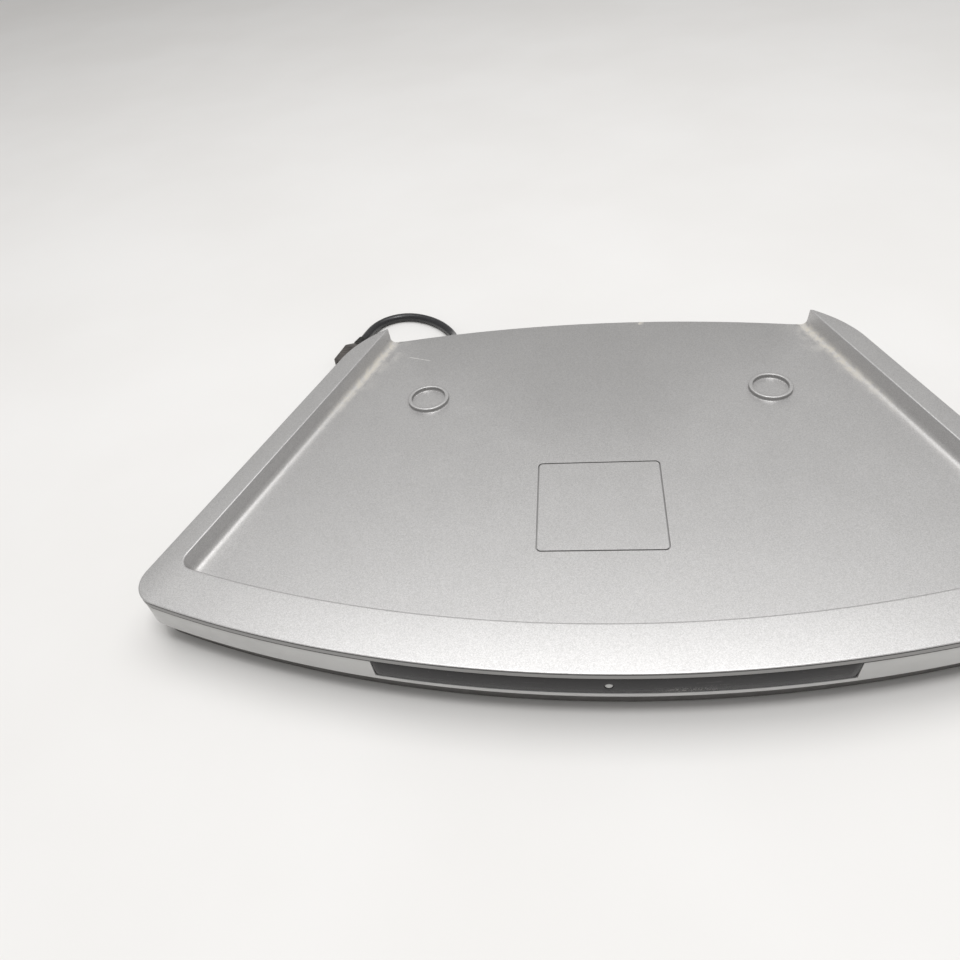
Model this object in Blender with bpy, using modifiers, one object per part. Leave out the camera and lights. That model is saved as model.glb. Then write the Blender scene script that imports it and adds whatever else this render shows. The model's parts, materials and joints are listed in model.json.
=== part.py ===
"""Network audio pedestal: a tray-shaped base that a table radio stands on.

Metres, +Z up, front towards -Y. The origin is on the table under the middle of the object's
box (its lead and plug apart). Driving dimensions come first, then the plan outline and the
helpers, then one function for each sub-part.
"""
import math

import bmesh
import bpy
import numpy as np
from mathutils import Matrix, Vector

MM = 0.001
GAP = 0.3                      # clearance between touching pieces, mm

# --- plan outline, mm -----------------------------------------------------------------------
FRONT_Y = -122.2               # apex of the bowed front edge
FRONT_RADIUS = 533.7
REAR_Y = 122.2                 # apex of the bowed rear edge
REAR_RADIUS = 604.0
SIDE_X = 168.9                 # half width on the X axis; the sides lean in towards the rear
SIDE_LEAN = 0.352              # how far the side moves in for each mm towards the rear
CORNER_RADIUS = 14.0           # front corners
SWEEP_RADIUS = 50.5            # rear corners
SWEEP_START_Y = 84.5           # where the straight side ends

# --- tray outline at the top of the rim, mm --------------------------------------------------
TRAY_FRONT_Y = -100.4
TRAY_FRONT_RADIUS = 531.6
TRAY_SIDE_X = 156.2
TRAY_LEAN = 0.354
TRAY_CORNER_RADIUS = 7.0

# --- heights above the table, mm ---------------------------------------------------------------
BASE_Z = 2.2                   # underside of the housing, held up by the feet
UNDERCUT_Z = 12.4              # bottom edge of the fascia
HOUSING_TOP_Z = 24.9
COVER_BOTTOM_Z = 25.3
RIM_OUTER_Z = 28.8
RIM_INNER_Z = 29.8
FULL_RIM = 12.0                  # a rim this wide or wider has the full fall to its outer edge
PLATFORM_Z = 20.2
COVER_WALL = 2.2
HOUSING_WALL = 2.0
PLATFORM_UNDER_Z = PLATFORM_Z - COVER_WALL
FLOOR_Z = BASE_Z + HOUSING_WALL

# --- fascia and window, mm ----------------------------------------------------------------------
FASCIA_INSET_TOP = 0.4
FASCIA_INSET_BOTTOM = 1.0
UNDERCUT_INSET = 5.6
WINDOW_HALF_TOP = 89.0
WINDOW_HALF_BOTTOM = 88.5
WINDOW_BOTTOM_Z = 15.3
WINDOW_THICKNESS = 1.6

# --- platform details, mm --------------------------------------------------------------------
RING_X = 87.4
RING_Y = 54.1
RING_OUTER = 10.8
RING_INNER = 8.8
RING_HEIGHT = 2.4
SQUARE_Y = -26.9
SQUARE_HALF = 28.0
GROOVE_WIDTH = 1.0
GROOVE_DEPTH = 0.5

# --- rear bay and ports, mm ---------------------------------------------------------------------
BAY_LEFT = -98.0
BAY_RIGHT = 76.0
BAY_Y = 106.0                  # outer face of the port panel
PANEL_THICKNESS = 1.8
PORT_Z = 11.0
ETHERNET_X = 48.0
SERVICE_X = 20.0
BUTTON_X = -6.0
BUTTON_RADIUS = 2.6
BUTTON_TRAVEL = 0.8
LEAD_X = -84.0
LEAD_Z = 9.5

# --- main board, mm -----------------------------------------------------------------------------
BOARD_LEFT = -72.0
BOARD_RIGHT = 66.0
BOARD_FRONT = 48.0
BOARD_REAR = 101.5
BOARD_Z = 7.6
BOARD_THICKNESS = 1.6
BOARD_TOP = BOARD_Z + BOARD_THICKNESS

# --- fixings and feet, mm -------------------------------------------------------------------------
CASE_SCREWS = ((-132.0, -60.0), (132.0, -60.0), (-104.0, 72.0), (104.0, 72.0), (0.0, -92.0),
               (0.0, 20.0))
BOARD_SCREWS = ((-66.0, 53.0), (60.0, 53.0), (-66.0, 96.0), (27.0, 80.0))
FEET = ((-88.8, -101.4), (88.8, -101.4), (-96.0, 88.0), (96.0, 88.0))
FOOT_RADIUS = 6.5

# --- lead, mm: the route of its centre line from the gland's end to the plug ----------------------
LEAD_DIAMETER = 5.0
LEAD_ROUTE = (
    (-84.0, 123.5, 9.5), (-84.0, 127.5, 9.0), (-84.0, 131.8, 7.7), (-84.2, 136.2, 5.6),
    (-84.9, 140.6, 3.8), (-86.5, 145.2, 2.8), (-89.4, 150.2, 2.6), (-93.5, 155.3, 2.6),
    (-98.6, 160.0, 2.6), (-104.6, 164.0, 2.6), (-111.4, 166.9, 2.6), (-118.4, 168.0, 2.6),
    (-125.1, 167.0, 2.6), (-130.9, 164.0, 2.7), (-135.2, 159.3, 3.0), (-138.0, 153.3, 3.6),
    (-139.8, 146.6, 4.2), (-141.4, 140.0, 4.5),
)
PLUG_HEADING = (-0.26, -0.966)
PLUG_Z = 4.5
PLUG_WIDTH = 12.0
PLUG_HEIGHT = 8.4
PLUG_LENGTH = 20.0


# ------------------------------------------------------------------------------------ plan outline
def unit(x, y):
    length = math.hypot(x, y)
    return (x / length, y / length)


def side_normal(lean):
    """Outward normal of the right-hand side line x + lean * y = const."""
    return unit(1.0, lean)


def fillet_centre(line_x, lean, radius, arc_y, arc_radius):
    """Centre of the corner arc that touches the side line and the bowed front from inside."""
    nx, ny = side_normal(lean)
    arc_centre_y = arc_y + arc_radius
    line = line_x * nx - radius            # nx * x + ny * y = line keeps the distance to the side
    # points on that line: base + s * direction; solve for the distance arc_radius - radius
    base = (line * nx, line * ny)
    direction = (ny, -nx)                  # runs towards the front
    to_x, to_y = base[0], base[1] - arc_centre_y
    half_b = to_x * direction[0] + to_y * direction[1]
    c = to_x * to_x + to_y * to_y - (arc_radius - radius) ** 2
    s = -half_b + math.sqrt(half_b * half_b - c)
    return (base[0] + s * direction[0], base[1] + s * direction[1])


def angle_of(centre, point):
    return math.atan2(point[1] - centre[1], point[0] - centre[0])


def arc_points(centre, radius, start, end, count, ends=(True, True)):
    """Points and outward normals on an arc, from angle start to angle end."""
    found = []
    for i in range(count + 1):
        if (i == 0 and not ends[0]) or (i == count and not ends[1]):
            continue
        a = start + (end - start) * i / count
        normal = (math.cos(a), math.sin(a))
        found.append((centre[0] + radius * normal[0], centre[1] + radius * normal[1], normal))
    return found


CORNER_CENTRE = fillet_centre(SIDE_X, SIDE_LEAN, CORNER_RADIUS, FRONT_Y, FRONT_RADIUS)
TRAY_CORNER_CENTRE = fillet_centre(TRAY_SIDE_X, TRAY_LEAN, TRAY_CORNER_RADIUS, TRAY_FRONT_Y,
                                   TRAY_FRONT_RADIUS)
SIDE_N = side_normal(SIDE_LEAN)
SWEEP_CENTRE = (SIDE_X - SIDE_LEAN * SWEEP_START_Y - SWEEP_RADIUS * SIDE_N[0],
                SWEEP_START_Y - SWEEP_RADIUS * SIDE_N[1])
FRONT_CENTRE = (0.0, FRONT_Y + FRONT_RADIUS)
TRAY_FRONT_CENTRE = (0.0, TRAY_FRONT_Y + TRAY_FRONT_RADIUS)
REAR_CENTRE = (0.0, REAR_Y - REAR_RADIUS)
SEGMENTS_FRONT = 8
SEGMENTS_CORNER = 5
SEGMENTS_SWEEP = 5
SEGMENTS_REAR = 5


def rear_meeting(inset):
    """Where the rear sweep meets the bowed rear edge, for an outline moved in by inset."""
    r1, r2 = SWEEP_RADIUS - inset, REAR_RADIUS - inset
    dx, dy = SWEEP_CENTRE[0] - REAR_CENTRE[0], SWEEP_CENTRE[1] - REAR_CENTRE[1]
    d = math.hypot(dx, dy)
    along = (r2 * r2 - r1 * r1 + d * d) / (2 * d)
    off = math.sqrt(r2 * r2 - along * along)
    ux, uy = dx / d, dy / d
    return (REAR_CENTRE[0] + along * ux + off * uy, REAR_CENTRE[1] + along * uy - off * ux)


def outer_half(inset):
    """Right half of the outline, from the front's middle round to the sweep's end."""
    corner_front = angle_of(FRONT_CENTRE, CORNER_CENTRE)
    corner_side = math.atan2(SIDE_N[1], SIDE_N[0])
    half = arc_points(FRONT_CENTRE, FRONT_RADIUS - inset, -math.pi / 2, corner_front, SEGMENTS_FRONT,
                      (True, False))
    half += arc_points(CORNER_CENTRE, CORNER_RADIUS - inset, corner_front, corner_side, SEGMENTS_CORNER)
    meet = rear_meeting(inset)
    half += arc_points(SWEEP_CENTRE, SWEEP_RADIUS - inset, corner_side, angle_of(SWEEP_CENTRE, meet),
                       SEGMENTS_SWEEP)
    return half


def mirrored(half):
    """A half outline on +X followed by its mirror image, open at the far end."""
    left = [(-x, y) for x, y in half if x > 1e-6]
    return left[::-1] + [(0.0, half[0][1])] + [p for p in half if p[0] > 1e-6]


def outline(inset):
    """The whole plan outline, moved in by inset, anticlockwise from the rear left."""
    half = [(x, y) for x, y, _ in outer_half(inset)]
    meet = rear_meeting(inset)
    start = angle_of(REAR_CENTRE, meet)
    rear = arc_points(REAR_CENTRE, REAR_RADIUS - inset, start, math.pi - start, 2 * SEGMENTS_REAR,
                      (False, False))
    return mirrored(half) + [(x, y) for x, y, _ in rear]


def tray_half():
    """Right half of the tray's edge, with the normals that point out of the tray."""
    corner_front = angle_of(TRAY_FRONT_CENTRE, TRAY_CORNER_CENTRE)
    normal = side_normal(TRAY_LEAN)
    corner_side = math.atan2(normal[1], normal[0])
    half = arc_points(TRAY_FRONT_CENTRE, TRAY_FRONT_RADIUS, -math.pi / 2, corner_front, SEGMENTS_FRONT,
                      (True, False))
    half += arc_points(TRAY_CORNER_CENTRE, TRAY_CORNER_RADIUS, corner_front, corner_side, SEGMENTS_CORNER)
    start_y = SWEEP_START_Y - 3.0
    end = rear_meeting(0.0)
    rise = unit(end[0] - REAR_CENTRE[0], end[1] - REAR_CENTRE[1])
    edge = (-rise[1], rise[0])                           # along the rear edge, towards the middle
    end_y = end[1] + 0.2
    for i in range(SEGMENTS_SWEEP + 1):
        y = start_y + (end_y - start_y) * i / SEGMENTS_SWEEP
        n = normal
        if i == SEGMENTS_SWEEP:                          # the last section lies along the rear edge
            across = -(edge[0] * normal[0] + edge[1] * normal[1])
            n = (-edge[0] / across, -edge[1] / across)
        half.append((TRAY_SIDE_X - TRAY_LEAN * y, y, n))
    return half


# ----------------------------------------------------------------------------------------- helpers
def clear_scene():
    for obj in list(bpy.data.objects):
        bpy.data.objects.remove(obj, do_unlink=True)


def new_collection(name):
    collection = bpy.data.collections.new(name)
    bpy.context.scene.collection.children.link(collection)
    return collection


clear_scene()
PARTS = new_collection("network_audio_pedestal")
CUTTERS = new_collection("cutters")
MATERIALS = {}


def material(name, colour, roughness, metallic=0.0):
    if name not in MATERIALS:
        made = bpy.data.materials.new(name)
        made.use_nodes = True
        shader = made.node_tree.nodes["Principled BSDF"]
        shader.inputs["Base Color"].default_value = (*colour, 1.0)
        shader.inputs["Roughness"].default_value = roughness
        shader.inputs["Metallic"].default_value = metallic
        MATERIALS[name] = made
    return MATERIALS[name]


SILVER_PAINT = ("silver_paint", (0.36, 0.36, 0.355), 0.42, 0.5)
PALE_PLASTIC = ("pale_plastic", (0.42, 0.42, 0.41), 0.5, 0.0)
SMOKED = ("smoked_window", (0.03, 0.03, 0.032), 0.15, 0.0)
BLACK_PLASTIC = ("black_plastic", (0.02, 0.02, 0.02), 0.55, 0.0)
LIGHT_GUIDE = ("light_guide", (0.8, 0.8, 0.78), 0.3, 0.0)
RUBBER = ("black_rubber", (0.015, 0.015, 0.015), 0.8, 0.0)
CORD_JACKET = ("cord_jacket", (0.02, 0.02, 0.02), 0.5, 0.0)
STEEL = ("steel", (0.6, 0.6, 0.6), 0.3, 1.0)
BOARD_GREEN = ("board_green", (0.02, 0.12, 0.05), 0.4, 0.0)
CHIP_BLACK = ("chip_black", (0.02, 0.02, 0.022), 0.4, 0.0)
FLEX_WHITE = ("flex_white", (0.75, 0.75, 0.72), 0.4, 0.0)


def finish(obj, name, look):
    """Names the object and its mesh, gives its material and puts it in the parts collection."""
    obj.name = name
    obj.data.name = name
    obj.data.materials.clear()
    obj.data.materials.append(material(*look))
    for old in list(obj.users_collection):
        old.objects.unlink(obj)
    PARTS.objects.link(obj)
    return obj


def as_cutter(obj, name):
    obj.name = name
    obj.hide_render = True
    obj.display_type = "WIRE"
    for old in list(obj.users_collection):
        old.objects.unlink(obj)
    CUTTERS.objects.link(obj)
    return obj


def mesh_object(name, bm):
    """A new object from a bmesh, with its faces turned outwards."""
    bmesh.ops.recalc_face_normals(bm, faces=bm.faces)
    mesh = bpy.data.meshes.new(name)
    bm.to_mesh(mesh)
    bm.free()
    obj = bpy.data.objects.new(name, mesh)
    bpy.context.scene.collection.objects.link(obj)
    return obj


def boolean(obj, other, operation="DIFFERENCE"):
    modifier = obj.modifiers.new(operation.lower(), "BOOLEAN")
    modifier.operation = operation
    modifier.solver = "EXACT"
    modifier.object = other
    return modifier


def bevel(obj, width, segments=2):
    modifier = obj.modifiers.new("bevel", "BEVEL")
    modifier.width = width * MM
    modifier.segments = segments
    modifier.limit_method = "ANGLE"
    modifier.angle_limit = math.radians(40.0)
    return modifier


def box(name, low, high):
    """A box between two corners, in mm."""
    bm = bmesh.new()
    bmesh.ops.create_cube(bm, size=1.0)
    bmesh.ops.scale(bm, vec=[(b - a) * MM for a, b in zip(low, high)], verts=bm.verts)
    obj = mesh_object(name, bm)
    obj.location = [(a + b) / 2 * MM for a, b in zip(low, high)]
    return obj


def cylinder(name, centre, radius, z0, z1, sides=16, top_radius=None):
    """An upright cylinder or cone frustum, in mm."""
    bm = bmesh.new()
    bmesh.ops.create_cone(bm, cap_ends=True, segments=sides, radius1=radius * MM,
                          radius2=(top_radius or radius) * MM, depth=(z1 - z0) * MM)
    obj = mesh_object(name, bm)
    obj.location = (centre[0] * MM, centre[1] * MM, (z0 + z1) / 2 * MM)
    return obj


def cylinder_along_y(name, x, z, radius, y0, y1, sides=16):
    """A cylinder along Y with its origin in its middle, in mm."""
    bm = bmesh.new()
    bmesh.ops.create_cone(bm, cap_ends=True, segments=sides, radius1=radius * MM, radius2=radius * MM,
                          depth=(y1 - y0) * MM)
    bmesh.ops.rotate(bm, cent=(0, 0, 0), matrix=Matrix.Rotation(math.pi / 2, 3, "X"), verts=bm.verts)
    obj = mesh_object(name, bm)
    obj.location = (x * MM, (y0 + y1) / 2 * MM, z * MM)
    return obj


def loft(name, loops, cap_start=True, cap_end=True, closed=True):
    """Skins a list of loops of 3-D points in mm that all have the same number of points."""
    bm = bmesh.new()
    rows = [[bm.verts.new([c * MM for c in p]) for p in loop] for loop in loops]
    count = len(rows[0])
    last = count if closed else count - 1
    for a, b in zip(rows, rows[1:]):
        for i in range(last):
            j = (i + 1) % count
            bm.faces.new((a[i], a[j], b[j], b[i]))
    if cap_start:
        bm.faces.new(rows[0][::-1])
    if cap_end:
        bm.faces.new(rows[-1])
    return mesh_object(name, bm)


def at_height(points, z):
    return [(x, y, z) for x, y in points]


def prism(name, points, z0, z1):
    """An upright prism on a plan outline, in mm."""
    return loft(name, [at_height(points, z0), at_height(points, z1)])


def tube(name, points, radius, look, resolution=2):
    """A round tube through points in mm, as a filled curve."""
    curve = bpy.data.curves.new(name, "CURVE")
    curve.dimensions = "3D"
    curve.bevel_depth = radius * MM
    curve.bevel_resolution = resolution
    curve.use_fill_caps = True
    curve.render_resolution_u = 0
    spline = curve.splines.new("POLY")
    spline.points.add(len(points) - 1)
    for point, place in zip(spline.points, points):
        point.co = (place[0] * MM, place[1] * MM, place[2] * MM, 1.0)
    obj = bpy.data.objects.new(name, curve)
    bpy.context.scene.collection.objects.link(obj)
    return finish(obj, name, look)


def smooth_route(points, spacing):
    """Evenly spaced points on a Catmull-Rom curve through the route's own points."""
    route = [np.array(p, float) for p in points]
    padded = [2 * route[0] - route[1]] + route + [2 * route[-1] - route[-2]]
    fine = []
    steps = 16
    for p0, p1, p2, p3 in zip(padded, padded[1:], padded[2:], padded[3:]):
        for k in range(steps):
            t = k / steps
            fine.append(0.5 * (2 * p1 + (p2 - p0) * t + (2 * p0 - 5 * p1 + 4 * p2 - p3) * t * t
                               + (3 * p1 - p0 - 3 * p2 + p3) * t ** 3))
    fine.append(route[-1])
    fine = np.array(fine)
    run = np.concatenate([[0.0], np.cumsum(np.linalg.norm(np.diff(fine, axis=0), axis=1))])
    count = max(2, round(run[-1] / spacing))
    places = np.linspace(0.0, run[-1], count + 1)
    return [tuple(np.interp(s, run, fine[:, axis]) for axis in range(3)) for s in places]


# ----------------------------------------------------------------------------------- casing shells
def cover_section(outer, inner):
    """One section of the cover: over the rim, down the tray wall and back underneath."""
    ox, oy, (onx, ony) = outer
    ix, iy, (inx, iny) = inner
    width = math.hypot(ox - ix, oy - iy)
    wall = min(COVER_WALL, 0.7 * width)
    fall = (RIM_INNER_Z - RIM_OUTER_Z) * min(1.0, width / FULL_RIM)
    edge_z = RIM_INNER_Z - fall                          # the rim levels out as it runs narrow

    def out(inset, z):
        inset = min(inset, 0.35 * width)
        return (ox - inset * onx, oy - inset * ony, z)

    def tray(offset, z):
        """offset mm from the tray's edge, into the tray; negative is inside the rim."""
        return (ix - offset * inx, iy - offset * iny, z)

    return [
        out(0.0, COVER_BOTTOM_Z), out(0.0, edge_z - 0.9), out(0.3, edge_z - 0.3),
        out(1.0, edge_z), tray(-0.3, RIM_INNER_Z), tray(0.1, RIM_INNER_Z - 0.4),
        tray(0.6, PLATFORM_Z + 3.0), tray(1.5, PLATFORM_Z + 0.9), tray(3.6, PLATFORM_Z),
        tray(3.6, PLATFORM_UNDER_Z), tray(0.3 - wall, PLATFORM_UNDER_Z), tray(-wall, COVER_BOTTOM_Z),
    ]


def cover_blank():
    """The closed cover: the rim's sections all round, and the platform between them."""
    half = [cover_section(o, i) for o, i in zip(outer_half(0.0), tray_half())]
    left = [[(-x, y, z) for x, y, z in section] for section in half[:0:-1]]
    sections = left + half
    bm = bmesh.new()
    rows = [[bm.verts.new([c * MM for c in p]) for p in section] for section in sections]
    count = len(rows[0])
    top, under = 8, 9                                    # the platform's two ends of a section
    for a, b in zip(rows, rows[1:]):
        for i in range(count):
            if i != top:
                j = (i + 1) % count
                bm.faces.new((a[i], a[j], b[j], b[i]))
    right_end = rows[-1][top].co / MM
    start = angle_of(REAR_CENTRE, right_end)
    edge = arc_points(REAR_CENTRE, math.hypot(right_end.x, right_end.y - REAR_CENTRE[1]), start,
                      math.pi - start, 2 * SEGMENTS_REAR, (False, False))
    rear_top = [bm.verts.new((x * MM, y * MM, PLATFORM_Z * MM)) for x, y, _ in edge]
    rear_under = [bm.verts.new((x * MM, y * MM, PLATFORM_UNDER_Z * MM)) for x, y, _ in edge]
    bm.faces.new([row[top] for row in rows] + rear_top)
    bm.faces.new([row[under] for row in rows] + rear_under)
    chain_top = [rows[-1][top]] + rear_top + [rows[0][top]]
    chain_under = [rows[-1][under]] + rear_under + [rows[0][under]]
    for i in range(len(chain_top) - 1):
        bm.faces.new((chain_top[i], chain_top[i + 1], chain_under[i + 1], chain_under[i]))
    bm.faces.new(rows[0])
    bm.faces.new(rows[-1])
    return mesh_object("top_cover", bm)


def rim_pocket():
    """The hollow under the rim, as a closed bar that stops where the rim becomes narrow."""
    stations = list(zip(outer_half(0.0), tray_half()))[1:-4]
    half = []
    for (ox, oy, (onx, ony)), (ix, iy, (inx, iny)) in stations:
        wall = COVER_WALL + 0.2
        outer = (ox - wall * onx, oy - wall * ony)
        inner = (ix + wall * inx, iy + wall * iny)
        roof = RIM_OUTER_Z - COVER_WALL
        half.append([(*outer, roof), (*inner, roof), (*inner, COVER_BOTTOM_Z - 2.0),
                     (*outer, COVER_BOTTOM_Z - 2.0)])
    left = [[(-x, y, z) for x, y, z in section] for section in half[::-1]]
    return as_cutter(loft("rim_pocket_cutter", left + half), "rim_pocket_cutter")


def rounded_square(half, radius, count=4):
    points = []
    for quarter in range(4):
        a0 = quarter * math.pi / 2
        cx = (half - radius) * (1 if quarter in (0, 3) else -1)
        cy = (half - radius) * (1 if quarter in (0, 1) else -1)
        for i in range(count + 1):
            a = a0 + math.pi / 2 * i / count
            points.append((cx + radius * math.cos(a), cy + radius * math.sin(a) + SQUARE_Y))
    return points


def groove_cutter():
    """A thin square frame, from two nested rounded squares."""
    outer = rounded_square(SQUARE_HALF + GROOVE_WIDTH / 2, 2.4)
    inner = rounded_square(SQUARE_HALF - GROOVE_WIDTH / 2, 1.6)
    z0, z1 = PLATFORM_Z - GROOVE_DEPTH, PLATFORM_Z + 1.0
    loops = [at_height(outer, z0), at_height(outer, z1), at_height(inner, z1), at_height(inner, z0),
             at_height(outer, z0)]
    cutter = loft("groove_cutter", loops, cap_start=False, cap_end=False)
    bm = bmesh.new()
    bm.from_mesh(cutter.data)
    bmesh.ops.remove_doubles(bm, verts=bm.verts, dist=1e-6)
    bmesh.ops.recalc_face_normals(bm, faces=bm.faces)
    bm.to_mesh(cutter.data)
    bm.free()
    return as_cutter(cutter, "groove_cutter")


def turned(name, centre, profile, steps=24):
    """A closed ring turned about an upright axis: the profile is a closed loop of (radius, z)."""
    loops = []
    for i in range(steps):
        a = 2 * math.pi * i / steps
        loops.append([(centre[0] + r * math.cos(a), centre[1] + r * math.sin(a), z) for r, z in profile])
    loops.append(loops[0])
    made = loft(name, loops, cap_start=False, cap_end=False)
    bm = bmesh.new()
    bm.from_mesh(made.data)
    bmesh.ops.remove_doubles(bm, verts=bm.verts, dist=1e-6)
    bmesh.ops.recalc_face_normals(bm, faces=bm.faces)
    bm.to_mesh(made.data)
    bm.free()
    return made


def make_top_cover():
    cover = finish(cover_blank(), "top_cover", SILVER_PAINT)
    boolean(cover, rim_pocket())
    boolean(cover, groove_cutter())
    low, high = PLATFORM_Z - 0.5, PLATFORM_Z + RING_HEIGHT
    profile = [(RING_INNER, low), (RING_OUTER, low), (RING_OUTER, high - 0.4), (RING_OUTER - 0.4, high),
               (RING_INNER + 0.4, high), (RING_INNER, high - 0.4)]
    for side, x in (("left", -RING_X), ("right", RING_X)):
        ring = turned(f"ring_{side}_shape", (x, RING_Y), profile)
        boolean(cover, as_cutter(ring, f"ring_{side}_shape"), "UNION")
    for i, place in enumerate(CASE_SCREWS):
        boss = cylinder(f"boss_shape_{i}", place, 3.6, FLOOR_Z + 2.3, PLATFORM_UNDER_Z + 0.5, 12)
        boolean(cover, as_cutter(boss, f"boss_shape_{i}"), "UNION")
        pilot = cylinder(f"pilot_cutter_{i}", place, 1.6, FLOOR_Z, PLATFORM_UNDER_Z - 1.0, 12)
        boolean(cover, as_cutter(pilot, f"pilot_cutter_{i}"))
    return cover


def tray_clearance():
    """Everything the cover's tray needs clear in the housing: its plan, from under it upwards."""
    reach = COVER_WALL + GAP
    half = [(x + reach * n[0], y + reach * n[1]) for x, y, n in tray_half()[:-1]]
    half.append((half[-1][0] - TRAY_LEAN * 30.0, half[-1][1] + 30.0))
    return as_cutter(prism("tray_clearance", mirrored(half), PLATFORM_UNDER_Z - GAP, RIM_INNER_Z + 5.0),
                     "tray_clearance")


def fascia_y(x, inset):
    """Y of the bowed front at x, moved in by inset."""
    radius = FRONT_RADIUS - inset
    return FRONT_CENTRE[1] - math.sqrt(radius * radius - x * x)


def bowed_strip(name, half_top, half_bottom, z0, z1, inset, thickness, lean=0.0, segments=12):
    """A strip that follows the bowed front; lean is how much further in its bottom sits."""
    loops = []
    for i in range(segments + 1):
        t = 2.0 * i / segments - 1.0
        top, bottom = t * half_top, t * half_bottom
        loops.append([
            (bottom, fascia_y(bottom, inset + lean), z0), (top, fascia_y(top, inset), z1),
            (top, fascia_y(top, inset + thickness), z1),
            (bottom, fascia_y(bottom, inset + lean + thickness), z0)])
    return loft(name, loops)


def fascia_lean(z0, z1):
    """How far the fascia moves in between two heights."""
    slope = (FASCIA_INSET_BOTTOM - FASCIA_INSET_TOP) / (HOUSING_TOP_Z - UNDERCUT_Z - 1.0)
    return slope * (z1 - z0)


def make_lower_housing():
    outer = (
        (FASCIA_INSET_TOP, HOUSING_TOP_Z), (FASCIA_INSET_BOTTOM, UNDERCUT_Z + 1.0),
        (FASCIA_INSET_BOTTOM + 0.5, UNDERCUT_Z + 0.2), (FASCIA_INSET_BOTTOM + 1.2, UNDERCUT_Z - 0.2),
        (UNDERCUT_INSET - 0.2, BASE_Z + 1.0), (UNDERCUT_INSET + 0.8, BASE_Z))
    inner = (
        (UNDERCUT_INSET + 2.2, FLOOR_Z), (FASCIA_INSET_BOTTOM + 3.4, UNDERCUT_Z + 0.8),
        (FASCIA_INSET_BOTTOM + HOUSING_WALL, UNDERCUT_Z + 2.4),
        (FASCIA_INSET_TOP + HOUSING_WALL, HOUSING_TOP_Z))
    shell = loft("lower_housing", [at_height(outline(inset), z) for inset, z in inner + outer])
    housing = finish(shell, "lower_housing", PALE_PLASTIC)
    boolean(housing, tray_clearance())
    # notch for the window, open at the housing's top edge
    notch = bowed_strip("window_notch", WINDOW_HALF_TOP + GAP, WINDOW_HALF_BOTTOM + GAP,
                        WINDOW_BOTTOM_Z - GAP, HOUSING_TOP_Z + 2.0, -1.0, 6.0)
    boolean(housing, as_cutter(notch, "window_notch"))
    # the rear bay under the overhang, and the panel's seat in front of it
    bay = box("bay_cutter", (BAY_LEFT, BAY_Y - PANEL_THICKNESS - 2 * GAP, FLOOR_Z + 0.4),
              (BAY_RIGHT, REAR_Y + 20.0, PLATFORM_UNDER_Z + 2.0))
    boolean(housing, as_cutter(bay, "bay_cutter"))
    apron = box("apron_cutter", (BAY_LEFT, BAY_Y + 0.2, BASE_Z - 3.0),
                (BAY_RIGHT, REAR_Y + 20.0, FLOOR_Z + 3.0))
    boolean(housing, as_cutter(apron, "apron_cutter"))
    for i, place in enumerate(CASE_SCREWS):
        post = cylinder(f"post_shape_{i}", place, 5.4, FLOOR_Z - 0.5, FLOOR_Z + 2.0, 12)
        boolean(housing, as_cutter(post, f"post_shape_{i}"), "UNION")
        hole = cylinder(f"hole_cutter_{i}", place, 1.8, BASE_Z - 1.0, FLOOR_Z + 4.0, 12)
        boolean(housing, as_cutter(hole, f"hole_cutter_{i}"))
        bore = cylinder(f"bore_cutter_{i}", place, 3.5, BASE_Z - 1.0, BASE_Z + 2.2, 12)
        boolean(housing, as_cutter(bore, f"bore_cutter_{i}"))
    for i, place in enumerate(BOARD_SCREWS):
        post = cylinder(f"stand_shape_{i}", place, 3.0, FLOOR_Z - 0.5, BOARD_Z - GAP, 12)
        boolean(housing, as_cutter(post, f"stand_shape_{i}"), "UNION")
        pilot = cylinder(f"stand_cutter_{i}", place, 1.2, FLOOR_Z, BOARD_Z + 1.0, 10)
        boolean(housing, as_cutter(pilot, f"stand_cutter_{i}"))
    for i, place in enumerate(FEET):
        seat = cylinder(f"foot_seat_{i}", place, FOOT_RADIUS + GAP, BASE_Z - 1.0, BASE_Z + 0.5, 20)
        boolean(housing, as_cutter(seat, f"foot_seat_{i}"))
    return housing


def make_front_window():
    z0, z1 = WINDOW_BOTTOM_Z, HOUSING_TOP_Z
    inset = FASCIA_INSET_TOP + 0.1
    window = finish(bowed_strip("front_window", WINDOW_HALF_TOP, WINDOW_HALF_BOTTOM, z0, z1, inset,
                                WINDOW_THICKNESS, fascia_lean(z0, z1)), "front_window", SMOKED)
    hole = cylinder_along_y("lens_hole", 0.0, 20.0, 1.5 + GAP, FRONT_Y - 2.0, FRONT_Y + 6.0)
    boolean(window, as_cutter(hole, "lens_hole"))
    return window


def make_indicator_lens():
    front = FRONT_Y + FASCIA_INSET_TOP + 0.45
    lens = cylinder_along_y("indicator_lens", 0.0, 20.0, 1.5, front, front + 4.6)
    return finish(lens, "indicator_lens", LIGHT_GUIDE)


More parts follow.
